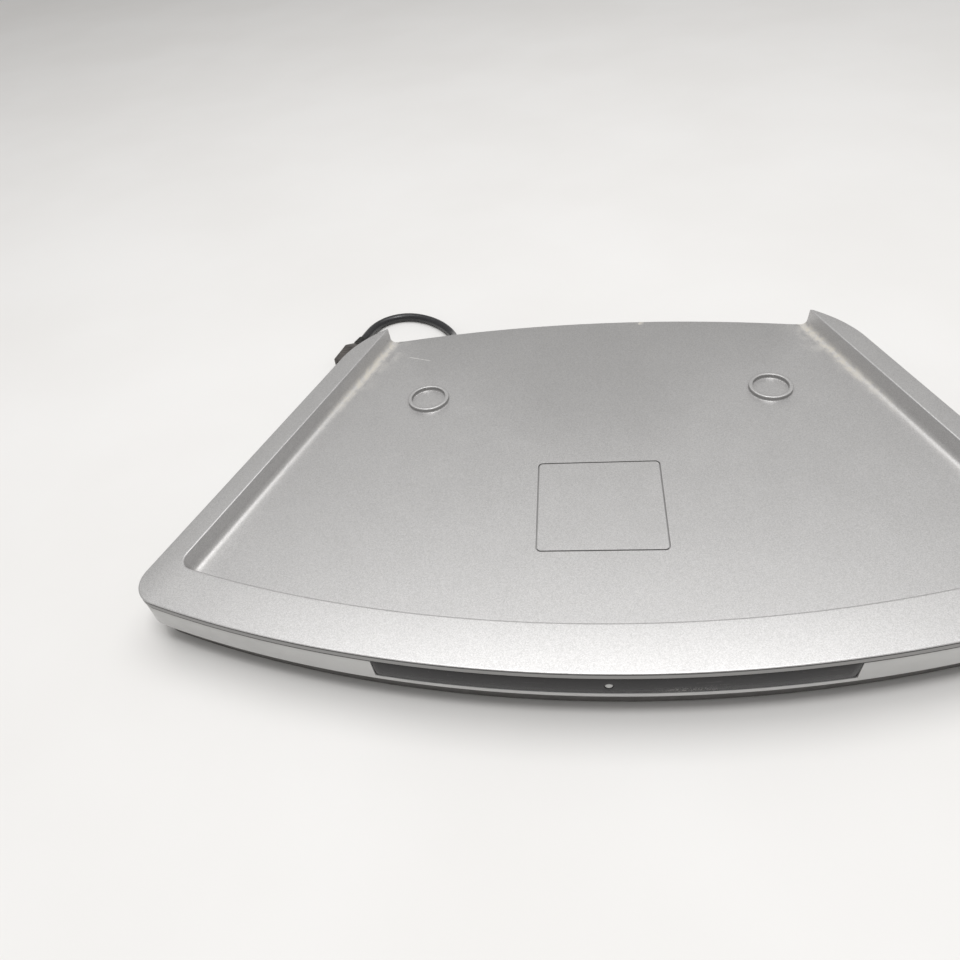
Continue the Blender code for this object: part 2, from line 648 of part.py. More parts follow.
# ------------------------------------------------------------------------------- rear panel, ports
def make_rear_panel():
    """A U-shaped moulding: the port plate with a wing at each end that closes the bay's sides."""
    z0, z1 = FLOOR_Z + 0.4 + GAP, PLATFORM_UNDER_Z - GAP
    left, right = BAY_LEFT + GAP, BAY_RIGHT - GAP
    inner = BAY_Y - PANEL_THICKNESS
    panel = finish(box("rear_panel", (left, inner, z0), (right, BAY_Y, z1)), "rear_panel", BLACK_PLASTIC)
    for side, x0, x1 in (("left", left, left + PANEL_THICKNESS), ("right", right - PANEL_THICKNESS, right)):
        wing_rear = outline_rear_y(max(abs(x0), abs(x1))) - 2.5
        wing = box(f"wing_{side}", (x0, inner, z0), (x1, wing_rear, z1))
        boolean(panel, as_cutter(wing, f"wing_{side}"), "UNION")
    jack = box("jack_cutter", (ETHERNET_X - 8.0 - GAP, BAY_Y - 5.0, PORT_Z - 6.0 - GAP),
               (ETHERNET_X + 8.0 + GAP, BAY_Y + 5.0, PORT_Z + 6.0 + GAP))
    boolean(panel, as_cutter(jack, "jack_cutter"))
    port = box("port_cutter", (SERVICE_X - 4.0 - GAP, BAY_Y - 5.0, BOARD_TOP + 0.2),
               (SERVICE_X + 4.0 + GAP, BAY_Y + 5.0, BOARD_TOP + 3.7))
    boolean(panel, as_cutter(port, "port_cutter"))
    button = cylinder_along_y("button_hole", BUTTON_X, PORT_Z + 1.0, BUTTON_RADIUS + GAP, BAY_Y - 5.0,
                              BAY_Y + 5.0)
    boolean(panel, as_cutter(button, "button_hole"))
    gland = cylinder_along_y("gland_hole", LEAD_X, LEAD_Z, 3.6 + GAP, BAY_Y - 5.0, BAY_Y + 5.0)
    boolean(panel, as_cutter(gland, "gland_hole"))
    return panel


def outline_rear_y(x):
    return REAR_CENTRE[1] + math.sqrt(REAR_RADIUS ** 2 - x * x)


def make_ethernet_jack():
    """A shielded socket: open at the rear, with a latch slot and a stepped mouth."""
    x0, x1 = ETHERNET_X - 8.0, ETHERNET_X + 8.0
    z0, z1 = PORT_Z - 6.0, PORT_Z + 6.0
    jack = finish(box("ethernet_jack", (x0, BAY_Y - 16.0, z0), (x1, BAY_Y + 0.4, z1)),
                  "ethernet_jack", STEEL)
    mouth = box("mouth_cutter", (x0 + 2.1, BAY_Y - 12.0, z0 + 3.0), (x1 - 2.1, BAY_Y + 3.0, z1 - 1.6))
    boolean(jack, as_cutter(mouth, "mouth_cutter"))
    slot = box("latch_cutter", (ETHERNET_X - 3.0, BAY_Y - 9.0, z0 + 1.4),
               (ETHERNET_X + 3.0, BAY_Y + 3.0, z0 + 3.5))
    boolean(jack, as_cutter(slot, "latch_cutter"))
    return jack


def make_service_port():
    z0 = BOARD_TOP + GAP + 0.1
    port = finish(box("service_port", (SERVICE_X - 3.9, BAY_Y - 7.5, z0),
                      (SERVICE_X + 3.9, BAY_Y - 0.3, z0 + 2.9)), "service_port", STEEL)
    mouth = box("service_mouth", (SERVICE_X - 3.5, BAY_Y - 5.5, z0 + 0.4),
                (SERVICE_X + 3.5, BAY_Y + 2.0, z0 + 2.5))
    boolean(port, as_cutter(mouth, "service_mouth"))
    return port


def make_setup_button():
    """The cap and its wider flange behind the panel, its origin on its travel axis."""
    z = PORT_Z + 1.0
    cap = cylinder_along_y("setup_button", BUTTON_X, z, BUTTON_RADIUS, BAY_Y - PANEL_THICKNESS - 1.4,
                           BAY_Y + 1.1, 20)
    button = finish(cap, "setup_button", BLACK_PLASTIC)
    flange = cylinder_along_y("button_flange", BUTTON_X, z, BUTTON_RADIUS + 0.9,
                              BAY_Y - PANEL_THICKNESS - 1.4, BAY_Y - PANEL_THICKNESS - GAP, 20)
    boolean(button, as_cutter(flange, "button_flange"), "UNION")
    return button


def make_setup_switch():
    z = PORT_Z + 1.0
    rear = BAY_Y - PANEL_THICKNESS - 1.4 - GAP
    body = finish(box("setup_switch_body", (BUTTON_X - 3.0, rear - 5.6, BOARD_TOP + GAP),
                      (BUTTON_X + 3.0, rear - 2.2, z + 3.0)), "setup_switch_body", CHIP_BLACK)
    bore = cylinder_along_y("plunger_bore", BUTTON_X, z, 1.2 + GAP, rear - 4.6, rear)
    boolean(body, as_cutter(bore, "plunger_bore"))
    plunger = cylinder_along_y("setup_switch_plunger", BUTTON_X, z, 1.2, rear - 3.4, rear, 12)
    finish(plunger, "setup_switch_plunger", FLEX_WHITE)


# ------------------------------------------------------------------------------------ electronics
def make_main_board():
    board = finish(box("main_board", (BOARD_LEFT, BOARD_FRONT, BOARD_Z),
                       (BOARD_RIGHT, BOARD_REAR, BOARD_TOP)), "main_board", BOARD_GREEN)
    notch = box("board_notch", (ETHERNET_X - 8.0 - GAP, BAY_Y - 16.0 - GAP, BOARD_Z - 1.0),
                (ETHERNET_X + 8.0 + GAP, BOARD_REAR + 3.0, BOARD_TOP + 1.0))
    boolean(board, as_cutter(notch, "board_notch"))
    for i, place in enumerate(BOARD_SCREWS):
        hole = cylinder(f"board_hole_{i}", place, 1.5, BOARD_Z - 1.0, BOARD_TOP + 1.0, 10)
        boolean(board, as_cutter(hole, f"board_hole_{i}"))


def on_board(name, x0, y0, x1, y1, height, look):
    """A component standing on the main board, given by its plan corners and height."""
    part = box(name, (x0, y0, BOARD_TOP + GAP), (x1, y1, BOARD_TOP + GAP + height))
    return finish(part, name, look)


def make_board_parts():
    on_board("processor", -20.0, 62.0, -4.0, 78.0, 1.4, CHIP_BLACK)
    can = on_board("shield_can", -26.0, 56.0, 2.0, 84.0, 3.2, STEEL)
    hollow = box("can_cutter", (-25.6, 56.4, BOARD_TOP - 1.0), (1.6, 83.6, BOARD_TOP + GAP + 2.8))
    boolean(can, as_cutter(hollow, "can_cutter"))
    on_board("radio_module", -58.0, 56.0, -34.0, 82.0, 2.2, STEEL)
    on_board("lead_header", -58.0, 86.0, -40.0, 93.0, 5.0, FLEX_WHITE)


def make_inner_lead():
    """From the gland's inner end, bending round to the header on the board."""
    route = ((LEAD_X, BAY_Y - PANEL_THICKNESS - 2.4, LEAD_Z), (LEAD_X, 98.0, LEAD_Z + 0.2),
             (LEAD_X + 1.5, 94.0, LEAD_Z + 1.2), (LEAD_X + 6.0, 90.6, LEAD_Z + 2.4),
             (LEAD_X + 13.0, 89.5, LEAD_Z + 2.6), (LEAD_X + 25.6, 89.5, LEAD_Z + 2.6))
    tube("inner_lead", smooth_route(route, 4.0), 1.8, CORD_JACKET)


def make_front_board():
    """The upright board behind the window, with its lamp and infrared receiver."""
    y = FRONT_Y + 7.6
    board = box("front_board", (-34.0, y, 13.6), (34.0, y + 1.2, 24.6))
    finish(board, "front_board", BOARD_GREEN)
    led = box("status_led", (-1.6, y - 1.9, 18.6), (1.6, y - GAP, 21.4))
    finish(led, "status_led", FLEX_WHITE)
    receiver = box("infrared_receiver", (17.0, y - 3.9, 16.6), (22.4, y - GAP, 23.6))
    receiver = finish(receiver, "infrared_receiver", CHIP_BLACK)
    bevel(receiver, 0.6)


def make_ribbon_cable():
    """A flat cable: down behind the front board, back along the floor, up to the main board."""
    half_width = 6.0
    thick = 0.4
    y_front = FRONT_Y + 7.6 + 1.2 + GAP
    path = [(y_front, 22.5), (y_front + 0.3, 14.5), (y_front + 2.0, 8.0), (y_front + 7.0, 5.4),
            (-70.0, 5.0), (30.0, 5.0), (40.0, 6.0), (44.0, 8.6), (47.5, BOARD_TOP + GAP + 0.2),
            (53.5, BOARD_TOP + GAP + 0.2)]
    loops = []
    for i, (y, z) in enumerate(path):
        before, after = path[max(i - 1, 0)], path[min(i + 1, len(path) - 1)]
        ty, tz = unit(after[0] - before[0], after[1] - before[1])
        ny, nz = -tz * thick / 2, ty * thick / 2
        x = 22.0
        loops.append([(x - half_width, y + ny, z + nz), (x + half_width, y + ny, z + nz),
                      (x + half_width, y - ny, z - nz), (x - half_width, y - ny, z - nz)])
    finish(loft("ribbon_cable", loops), "ribbon_cable", FLEX_WHITE)


def make_antennas():
    """A slim board in each side rim, standing on edge, with its thin lead to the radio module."""
    for side, sign in (("left", -1.0), ("right", 1.0)):
        loops = []
        for y in (-20.0, 25.0):
            x = TRAY_SIDE_X - TRAY_LEAN * y + COVER_WALL + 3.0
            dx, dy = 0.4 * SIDE_N[0], 0.4 * SIDE_N[1]
            loops.append([(sign * (x - dx), y - dy, 14.5), (sign * (x + dx), y + dy, 14.5),
                          (sign * (x + dx), y + dy, 25.5), (sign * (x - dx), y - dy, 25.5)])
        finish(loft(f"antenna_{side}", loops), f"antenna_{side}", BOARD_GREEN)
    start_y = 22.0
    left_x = -(TRAY_SIDE_X - TRAY_LEAN * start_y + COVER_WALL + 3.0) + 1.3
    left = ((left_x, start_y, 16.0), (left_x + 3.0, start_y + 3.0, 10.0), (-136.0, 30.0, 6.0),
            (-120.0, 36.0, 5.2), (-96.0, 44.0, 5.4), (-82.0, 56.0, 8.0), (-74.0, 62.0, 11.0),
            (-64.0, 64.0, 12.2), (-58.8, 64.0, 11.4))
    tube("antenna_lead_left", smooth_route(left, 5.0), 0.6, CORD_JACKET, 1)
    right_x = -left_x
    right = ((right_x, start_y, 16.0), (right_x - 3.0, start_y + 3.0, 10.0), (136.0, 30.0, 6.0),
             (118.0, 32.0, 5.4), (90.0, 31.0, 5.6), (50.0, 30.0, 7.2), (22.0, 30.0, 8.0), (-6.0, 32.0, 7.4),
             (-24.0, 38.0, 7.4), (-38.0, 44.0, 10.0), (-44.0, 50.0, 12.0), (-45.0, 55.2, 11.4))
    tube("antenna_lead_right", smooth_route(right, 6.0), 0.6, CORD_JACKET, 1)


# ----------------------------------------------------------------------------- fixings, feet, lead
def make_screws():
    for i, place in enumerate(CASE_SCREWS, 1):
        head = BASE_Z + 0.4
        screw = cylinder(f"case_screw_{i}", place, 3.0, head, head + 1.5, 14)
        screw = finish(screw, f"case_screw_{i}", STEEL)
        shank = cylinder(f"case_shank_{i}", place, 1.25, head + 1.0, head + 11.0, 8)
        boolean(screw, as_cutter(shank, f"case_shank_{i}"), "UNION")
    for i, place in enumerate(BOARD_SCREWS, 1):
        screw = cylinder(f"board_screw_{i}", place, 2.4, BOARD_TOP + GAP, BOARD_TOP + GAP + 1.3, 12)
        screw = finish(screw, f"board_screw_{i}", STEEL)
        shank = cylinder(f"board_shank_{i}", place, 0.85, FLOOR_Z + 0.6, BOARD_TOP + GAP + 0.6, 8)
        boolean(screw, as_cutter(shank, f"board_shank_{i}"), "UNION")


def make_feet():
    for name, place in zip(("front_left", "front_right", "rear_left", "rear_right"), FEET):
        foot = cylinder(f"foot_{name}", place, FOOT_RADIUS - 0.5, 0.0, BASE_Z + 0.2, 20, FOOT_RADIUS)
        finish(foot, f"foot_{name}", RUBBER)


def make_lead():
    # gland: a flanged taper through the rear panel
    profile = [(BAY_Y - PANEL_THICKNESS - 2.0, 4.6), (BAY_Y - PANEL_THICKNESS - GAP, 4.6),
               (BAY_Y - PANEL_THICKNESS - GAP, 3.6), (BAY_Y + GAP, 3.6), (BAY_Y + GAP, 4.8),
               (BAY_Y + 2.2, 4.8), (BAY_Y + 3.0, 4.1), (BAY_Y + 17.0, 2.9)]
    sides = 16
    loops = []
    for y, radius in profile:
        ring = []
        for k in range(sides):
            a = 2 * math.pi * k / sides
            ring.append((LEAD_X + radius * math.cos(a), y, LEAD_Z + radius * math.sin(a)))
        loops.append(ring)
    finish(loft("lead_gland", loops), "lead_gland", RUBBER)
    tube("lead", smooth_route(LEAD_ROUTE, 2.4 * LEAD_DIAMETER * 0.5), LEAD_DIAMETER / 2, CORD_JACKET, 2)


def plug_centre(along):
    """Centre of the plug's section at a distance along it, from the lead's end."""
    end = LEAD_ROUTE[-1]
    heading = unit(*PLUG_HEADING)
    return Vector((end[0] + heading[0] * along, end[1] + heading[1] * along, PLUG_Z))


def plug_point(along, across, up):
    heading = unit(*PLUG_HEADING)
    centre = plug_centre(along)
    return (centre.x - heading[1] * across, centre.y + heading[0] * across, centre.z + up)


def plug_section(along, half_width, half_height, chamfer):
    w, h, c = half_width, half_height, chamfer
    corners = [(-w, -h + c), (-w + c, -h), (w - c, -h), (w, -h + c), (w, h - c), (w - c, h),
               (-w + c, h), (-w, h - c)]
    return [plug_point(along, across, up) for across, up in corners]


def make_plug():
    w, h = PLUG_WIDTH / 2, PLUG_HEIGHT / 2
    start = 8.4
    levels = [(start, w - 2.6, h - 1.4, 0.8), (start + 1.8, w - 0.3, h - 0.1, 1.0),
              (start + 3.0, w, h, 1.0), (start + PLUG_LENGTH - 0.6, w, h, 1.0),
              (start + PLUG_LENGTH, w - 0.5, h - 0.5, 0.8)]
    body = finish(loft("plug_body", [plug_section(*level) for level in levels]), "plug_body", BLACK_PLASTIC)
    end = start + PLUG_LENGTH
    pocket = loft("plug_pocket", [plug_section(end - 6.0, 4.3, 2.3, 0.4),
                                  plug_section(end + 3.0, 4.3, 2.3, 0.4)])
    boolean(body, as_cutter(pocket, "plug_pocket"))
    block = loft("plug_contact_block",
                 [plug_section(end - 5.6, 3.9, 1.9, 0.4), plug_section(end - 0.6, 3.9, 1.9, 0.4)])
    finish(block, "plug_contact_block", CHIP_BLACK)
    # strain relief between the cord and the body: a ribbed taper
    profile = [(GAP, 2.6), (1.6, 2.8), (1.9, 3.5), (3.3, 3.6), (3.6, 2.9), (5.0, 3.0), (5.3, 3.7),
               (7.0, 3.8), (start - GAP, 3.4)]
    sides = 14
    loops = []
    for along, radius in profile:
        loops.append([plug_point(along, radius * math.cos(2 * math.pi * k / sides),
                                 radius * math.sin(2 * math.pi * k / sides)) for k in range(sides)])
    finish(loft("plug_strain_relief", loops), "plug_strain_relief", RUBBER)


def main():
    make_top_cover()
    make_lower_housing()
    make_front_window()
    make_indicator_lens()
    make_rear_panel()
    make_ethernet_jack()
    make_service_port()
    make_setup_button()
    make_setup_switch()
    make_main_board()
    make_board_parts()
    make_inner_lead()
    make_front_board()
    make_ribbon_cable()
    make_antennas()
    make_screws()
    make_feet()
    make_lead()
    make_plug()


main()
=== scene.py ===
import functools
import json
import math

import bmesh
import bpy
import numpy as np
from mathutils import Matrix, Vector


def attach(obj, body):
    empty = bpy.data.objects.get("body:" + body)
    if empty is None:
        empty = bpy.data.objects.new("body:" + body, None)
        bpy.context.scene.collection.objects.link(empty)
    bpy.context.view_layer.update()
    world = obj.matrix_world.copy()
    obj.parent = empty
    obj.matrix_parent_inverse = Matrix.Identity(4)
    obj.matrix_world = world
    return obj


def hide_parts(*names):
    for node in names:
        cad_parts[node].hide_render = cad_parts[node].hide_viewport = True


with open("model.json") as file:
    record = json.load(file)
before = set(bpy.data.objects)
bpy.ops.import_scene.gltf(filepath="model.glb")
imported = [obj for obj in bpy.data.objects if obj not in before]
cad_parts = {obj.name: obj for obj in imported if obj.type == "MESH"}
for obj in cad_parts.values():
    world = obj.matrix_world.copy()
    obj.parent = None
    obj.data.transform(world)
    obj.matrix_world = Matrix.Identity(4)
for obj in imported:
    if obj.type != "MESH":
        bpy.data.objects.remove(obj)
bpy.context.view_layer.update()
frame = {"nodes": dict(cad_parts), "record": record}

MM = 0.001
NODES = frame["nodes"]
PEDESTAL = "pedestal"

# --- plan outline and heights, as in the part's source
FRONT_Y = -122.2
FRONT_RADIUS = 533.7
REAR_Y = 122.2
REAR_RADIUS = 604.0
SIDE_X = 168.9
SIDE_LEAN = 0.352
CORNER_RADIUS = 14.0
SWEEP_RADIUS = 50.5
SWEEP_START_Y = 84.5
TRAY_FRONT_Y = -100.4
TRAY_FRONT_RADIUS = 531.6
TRAY_SIDE_X = 156.2
TRAY_LEAN = 0.354
TRAY_CORNER_RADIUS = 7.0

BASE_Z = 2.2
UNDERCUT_Z = 12.4
HOUSING_TOP_Z = 24.9
COVER_BOTTOM_Z = 25.3
RIM_OUTER_Z = 28.8
RIM_INNER_Z = 29.8
FULL_RIM = 12.0
PLATFORM_Z = 20.2
COVER_WALL = 2.2
HOUSING_WALL = 2.0
PLATFORM_UNDER_Z = PLATFORM_Z - COVER_WALL
FLOOR_Z = BASE_Z + HOUSING_WALL
GAP = 0.3

FASCIA_INSET_TOP = 0.4
FASCIA_INSET_BOTTOM = 1.0
UNDERCUT_INSET = 5.6
WINDOW_HALF_TOP = 89.0
WINDOW_HALF_BOTTOM = 88.5
WINDOW_BOTTOM_Z = 15.3
WINDOW_THICKNESS = 1.6
LENS_Z = 20.0
LENS_RADIUS = 1.5

RING_X = 87.4
RING_Y = 54.1
RING_OUTER = 10.8
RING_INNER = 8.8
RING_HEIGHT = 2.4
SQUARE_Y = -26.9
SQUARE_HALF = 28.0

BAY_LEFT = -98.0
BAY_RIGHT = 76.0
BAY_Y = 106.0
PANEL_THICKNESS = 1.8
PORT_Z = 11.0
ETHERNET_X = 48.0
SERVICE_X = 20.0
SERVICE_Z = 9.6
BUTTON_X = -6.0
BUTTON_RADIUS = 2.6
LEAD_X = -84.0
LEAD_Z = 9.5
CASE_SCREWS = ((-132.0, -60.0), (132.0, -60.0), (-104.0, 72.0), (104.0, 72.0), (0.0, -92.0),
               (0.0, 20.0))
FEET = (("front_left", -88.8, -101.4), ("front_right", 88.8, -101.4), ("rear_left", -96.0, 88.0),
        ("rear_right", 96.0, 88.0))
FOOT_RADIUS = 6.5
TINY = 1e-6  # lengths under this count as nothing

# --- the square line: narrower and deeper than the CAD's groove, so that it reads as a thin line
GROOVE_HALF_WIDTH = 0.35
GROOVE_DEPTH = 0.8

# --- the lead's centre line from the gland's end to the plug, as in the part's source
LEAD_DIAMETER = 5.0
LEAD_ROUTE = (
    (-84.0, 123.5, 9.5), (-84.0, 127.5, 9.0), (-84.0, 131.8, 7.7), (-84.2, 136.2, 5.6),
    (-84.9, 140.6, 3.8), (-86.5, 145.2, 2.8), (-89.4, 150.2, 2.6), (-93.5, 155.3, 2.6),
    (-98.6, 160.0, 2.6), (-104.6, 164.0, 2.6), (-111.4, 166.9, 2.6), (-118.4, 168.0, 2.6),
    (-125.1, 167.0, 2.6), (-130.9, 164.0, 2.7), (-135.2, 159.3, 3.0), (-138.0, 153.3, 3.6),
    (-139.8, 146.6, 4.2), (-141.4, 140.0, 4.5),
)
PLUG_HEADING = (-0.26, -0.966)
PLUG_Z = 4.5
PLUG_HALF_WIDTH = 6.0
PLUG_HALF_HEIGHT = 4.2
PLUG_START = 8.4
PLUG_LENGTH = 20.0

# --- camera: where it looks, from where, and its roll
CAMERA_TARGET = (-55.45, -9.26, 20.2)
CAMERA_AZIMUTH = 9.448
CAMERA_ELEVATION = 42.112
CAMERA_ROLL = -7.714
CAMERA_DISTANCE = 389.8
CAMERA_LENS = 31.15
SENSOR_WIDTH = 36.0


# ----- plan outline
def unit(x, y):
    length = math.hypot(x, y)
    return (x / length, y / length)


def side_normal(lean):
    """Outward normal of the right-hand side line x + lean * y = const."""
    return unit(1.0, lean)


def fillet_centre(line_x, lean, radius, arc_y, arc_radius):
    """Centre of the corner arc that touches the side line and the bowed front from inside."""
    nx, ny = side_normal(lean)
    line = line_x * nx - radius
    base = (line * nx, line * ny)
    direction = (ny, -nx)
    to_x, to_y = base[0], base[1] - (arc_y + arc_radius)
    half_b = to_x * direction[0] + to_y * direction[1]
    c = to_x * to_x + to_y * to_y - (arc_radius - radius) ** 2
    s = -half_b + math.sqrt(half_b * half_b - c)
    return (base[0] + s * direction[0], base[1] + s * direction[1])


def angle_of(centre, point):
    return math.atan2(point[1] - centre[1], point[0] - centre[0])


def arc_points(centre, radius, start, end, count, ends=(True, True)):
    """Points and outward normals on an arc, from angle start to angle end."""
    found = []
    for i in range(0 if ends[0] else 1, count + 1 if ends[1] else count):
        a = start + (end - start) * i / count
        normal = (math.cos(a), math.sin(a))
        found.append((centre[0] + radius * normal[0], centre[1] + radius * normal[1], normal))
    return found


CORNER_CENTRE = fillet_centre(SIDE_X, SIDE_LEAN, CORNER_RADIUS, FRONT_Y, FRONT_RADIUS)
TRAY_CORNER_CENTRE = fillet_centre(TRAY_SIDE_X, TRAY_LEAN, TRAY_CORNER_RADIUS, TRAY_FRONT_Y,
                                   TRAY_FRONT_RADIUS)
SIDE_N = side_normal(SIDE_LEAN)
SWEEP_CENTRE = (SIDE_X - SIDE_LEAN * SWEEP_START_Y - SWEEP_RADIUS * SIDE_N[0],
                SWEEP_START_Y - SWEEP_RADIUS * SIDE_N[1])
FRONT_CENTRE = (0.0, FRONT_Y + FRONT_RADIUS)
TRAY_FRONT_CENTRE = (0.0, TRAY_FRONT_Y + TRAY_FRONT_RADIUS)
REAR_CENTRE = (0.0, REAR_Y - REAR_RADIUS)
FRONT_STEPS = 44
CORNER_STEPS = 18
SIDE_STEPS = 10
SWEEP_STEPS = 24
REAR_STEPS = 40


def rear_meeting(inset):
    """Where the rear sweep meets the bowed rear edge, for an outline moved in by inset."""
    r1, r2 = SWEEP_RADIUS - inset, REAR_RADIUS - inset
    dx, dy = SWEEP_CENTRE[0] - REAR_CENTRE[0], SWEEP_CENTRE[1] - REAR_CENTRE[1]
    d = math.hypot(dx, dy)
    along = (r2 * r2 - r1 * r1 + d * d) / (2 * d)
    off = math.sqrt(r2 * r2 - along * along)
    ux, uy = dx / d, dy / d
    return (REAR_CENTRE[0] + along * ux + off * uy, REAR_CENTRE[1] + along * uy - off * ux)


def half_edge(front_centre, front_radius, corner_centre, corner_radius, lean):
    """Front and corner of a right-hand half outline, the side left out."""
    corner_front = angle_of(front_centre, corner_centre)
    normal = side_normal(lean)
    corner_side = math.atan2(normal[1], normal[0])
    half = arc_points(front_centre, front_radius, -math.pi / 2, corner_front, FRONT_STEPS,
                      (True, False))
    return half + arc_points(corner_centre, corner_radius, corner_front, corner_side, CORNER_STEPS)


def along_side(start, end, normal):
    """Evenly spaced points between two, without either end."""
    return [(start[0] + (end[0] - start[0]) * i / SIDE_STEPS,
             start[1] + (end[1] - start[1]) * i / SIDE_STEPS, normal) for i in range(1, SIDE_STEPS)]


def outer_half(inset):
    """Right half of the outline, from the front's middle round to the sweep's end."""
    half = half_edge(FRONT_CENTRE, FRONT_RADIUS - inset, CORNER_CENTRE, CORNER_RADIUS - inset,
                     SIDE_LEAN)
    corner_side = math.atan2(SIDE_N[1], SIDE_N[0])
    sweep = arc_points(SWEEP_CENTRE, SWEEP_RADIUS - inset, corner_side,
                       angle_of(SWEEP_CENTRE, rear_meeting(inset)), SWEEP_STEPS)
    return half + along_side(half[-1], sweep[0], SIDE_N) + sweep


def tray_half():
    """Right half of the tray's edge, with the normals that point out of the tray."""
    half = half_edge(TRAY_FRONT_CENTRE, TRAY_FRONT_RADIUS, TRAY_CORNER_CENTRE, TRAY_CORNER_RADIUS,
                     TRAY_LEAN)
    normal = side_normal(TRAY_LEAN)
    start_y = SWEEP_START_Y - 3.0  # the close sections start before the sweep
    end = rear_meeting(0.0)
    rise = unit(end[0] - REAR_CENTRE[0], end[1] - REAR_CENTRE[1])
    edge = (-rise[1], rise[0])  # along the rear edge, towards the middle
    end_y = end[1] + 0.2
    across = -(edge[0] * normal[0] + edge[1] * normal[1])
    last = (-edge[0] / across, -edge[1] / across)  # the last section lies along the rear edge
    straight = []
    for i in range(SWEEP_STEPS + 1):
        y = start_y + (end_y - start_y) * i / SWEEP_STEPS
        straight.append((TRAY_SIDE_X - TRAY_LEAN * y, y, last if i == SWEEP_STEPS else normal))
    return half + along_side(half[-1], straight[0], normal) + straight


def mirrored(half):
    """A half outline on +X with its mirror image before it."""
    right = [(x, y) for x, y in half if x > TINY]
    left = [(-x, y) for x, y in reversed(right)]
    return left + [(0.0, half[0][1])] + right


def outline(inset):
    """The whole plan outline, moved in by inset, anticlockwise from the rear left."""
    half = [(x, y) for x, y, _ in outer_half(inset)]
    start = angle_of(REAR_CENTRE, rear_meeting(inset))
    rear = arc_points(REAR_CENTRE, REAR_RADIUS - inset, start, math.pi - start, REAR_STEPS,
                      (False, False))
    return mirrored(half) + [(x, y) for x, y, _ in rear]


# ----- mesh helpers
SHARP_ANGLE = math.radians(38.0)


def new_object(name, data):
    obj = bpy.data.objects.new(name, data)
    bpy.context.scene.collection.objects.link(obj)
    return obj


def mesh_object(name, bm, sharp=SHARP_ANGLE, outward=True):
    """An object from a bmesh whose lengths are in mm, shaded smooth up to the sharp angle."""
    if outward:
        bmesh.ops.recalc_face_normals(bm, faces=bm.faces)
    bmesh.ops.scale(bm, vec=(MM, MM, MM), verts=bm.verts)
    mesh = bpy.data.meshes.new(name)
    bm.to_mesh(mesh)
    bm.free()
    mesh.shade_smooth()
    if sharp is not None:
        mesh.set_sharp_from_angle(angle=sharp)
    return new_object(name, mesh)


def add_loop(bm, points):
    return [bm.verts.new(p) for p in points]


def skin(bm, a, b, closed=True):
    """Faces between two rows of vertices; repeated vertices give triangles."""
    count = len(a) if closed else len(a) - 1
    for i in range(count):
        j = (i + 1) % len(a)
        corners = []
        for v in (a[i], a[j], b[j], b[i]):
            if v not in corners:
                corners.append(v)
        if len(corners) > 2 and not bm.faces.get(corners):
            bm.faces.new(corners)


def loft(name, loops):
    """A closed solid through loops of points, with a flat cap at each end."""
    bm = bmesh.new()
    rows = [add_loop(bm, points) for points in loops]
    for a, b in zip(rows, rows[1:]):
        skin(bm, a, b)
    bm.faces.new(rows[0][::-1])
    bm.faces.new(rows[-1])
    return mesh_object(name, bm)


def at_height(points, z):
    return [(x, y, z) for x, y in points]


def prism(name, points, z0, z1):
    return loft(name, [at_height(points, z0), at_height(points, z1)])


def box(name, low, high):
    """A box between two corners."""
    corners = [(low[0], low[1]), (high[0], low[1]), (high[0], high[1]), (low[0], high[1])]
    return prism(name, corners, low[2], high[2])


def circle(centre, radius, steps):
    return [(centre[0] + radius * math.cos(2 * math.pi * i / steps),
             centre[1] + radius * math.sin(2 * math.pi * i / steps)) for i in range(steps)]


def turned(name, centre, profile, steps=40):
    """A solid turned about an upright axis, from a profile of (radius, z) between its two caps."""
    return loft(name, [at_height(circle(centre, r, steps), z) for r, z in profile])


def turned_y(name, x, z, profile, steps=40):
    """A solid turned about an axis along Y, from a profile of (radius, y)."""
    return loft(name, [[(cx, y, cz) for cx, cz in circle((x, z), r, steps)] for r, y in profile])


def cylinder(name, centre, radius, z0, z1):
    return turned(name, centre, [(radius, z0), (radius, z1)])


def carve(obj, cutters):
    """Takes the cutters out of obj and removes them."""
    for cutter in cutters:
        modifier = obj.modifiers.new("carve", "BOOLEAN")
        modifier.operation = "DIFFERENCE"
        modifier.solver = "EXACT"
        modifier.object = cutter
    bake(obj)
    for cutter in cutters:
        bpy.data.objects.remove(cutter, do_unlink=True)


def bake(obj):
    """Applies every modifier of obj."""
    bpy.context.view_layer.update()
    graph = bpy.context.evaluated_depsgraph_get()
    mesh = bpy.data.meshes.new_from_object(obj.evaluated_get(graph))
    obj.modifiers.clear()
    old = obj.data
    obj.data = mesh
    bpy.data.meshes.remove(old)
    mesh.name = obj.name
    mesh.shade_smooth()
    mesh.set_sharp_from_angle(angle=SHARP_ANGLE)


def soften(obj, width, weld=False):
    """Rounds an object's edges; weld first joins the split edges of a CAD node's mesh."""
    if weld:
        modifier = obj.modifiers.new("weld", "WELD")
        modifier.merge_threshold = TINY
    modifier = obj.modifiers.new("edges", "BEVEL")
    modifier.width = width * MM
    modifier.segments = 2
    modifier.limit_method = "ANGLE"
    modifier.angle_limit = math.radians(32.0)
    modifier.harden_normals = True


def show(obj, look, replaced=(), body=PEDESTAL):
    """Gives a new piece its material, its body and the CAD nodes that it stands for."""
    obj.data.materials.clear()
    obj.data.materials.append(look)
    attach(obj, body)
    if replaced:
        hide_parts(*replaced)
    return obj


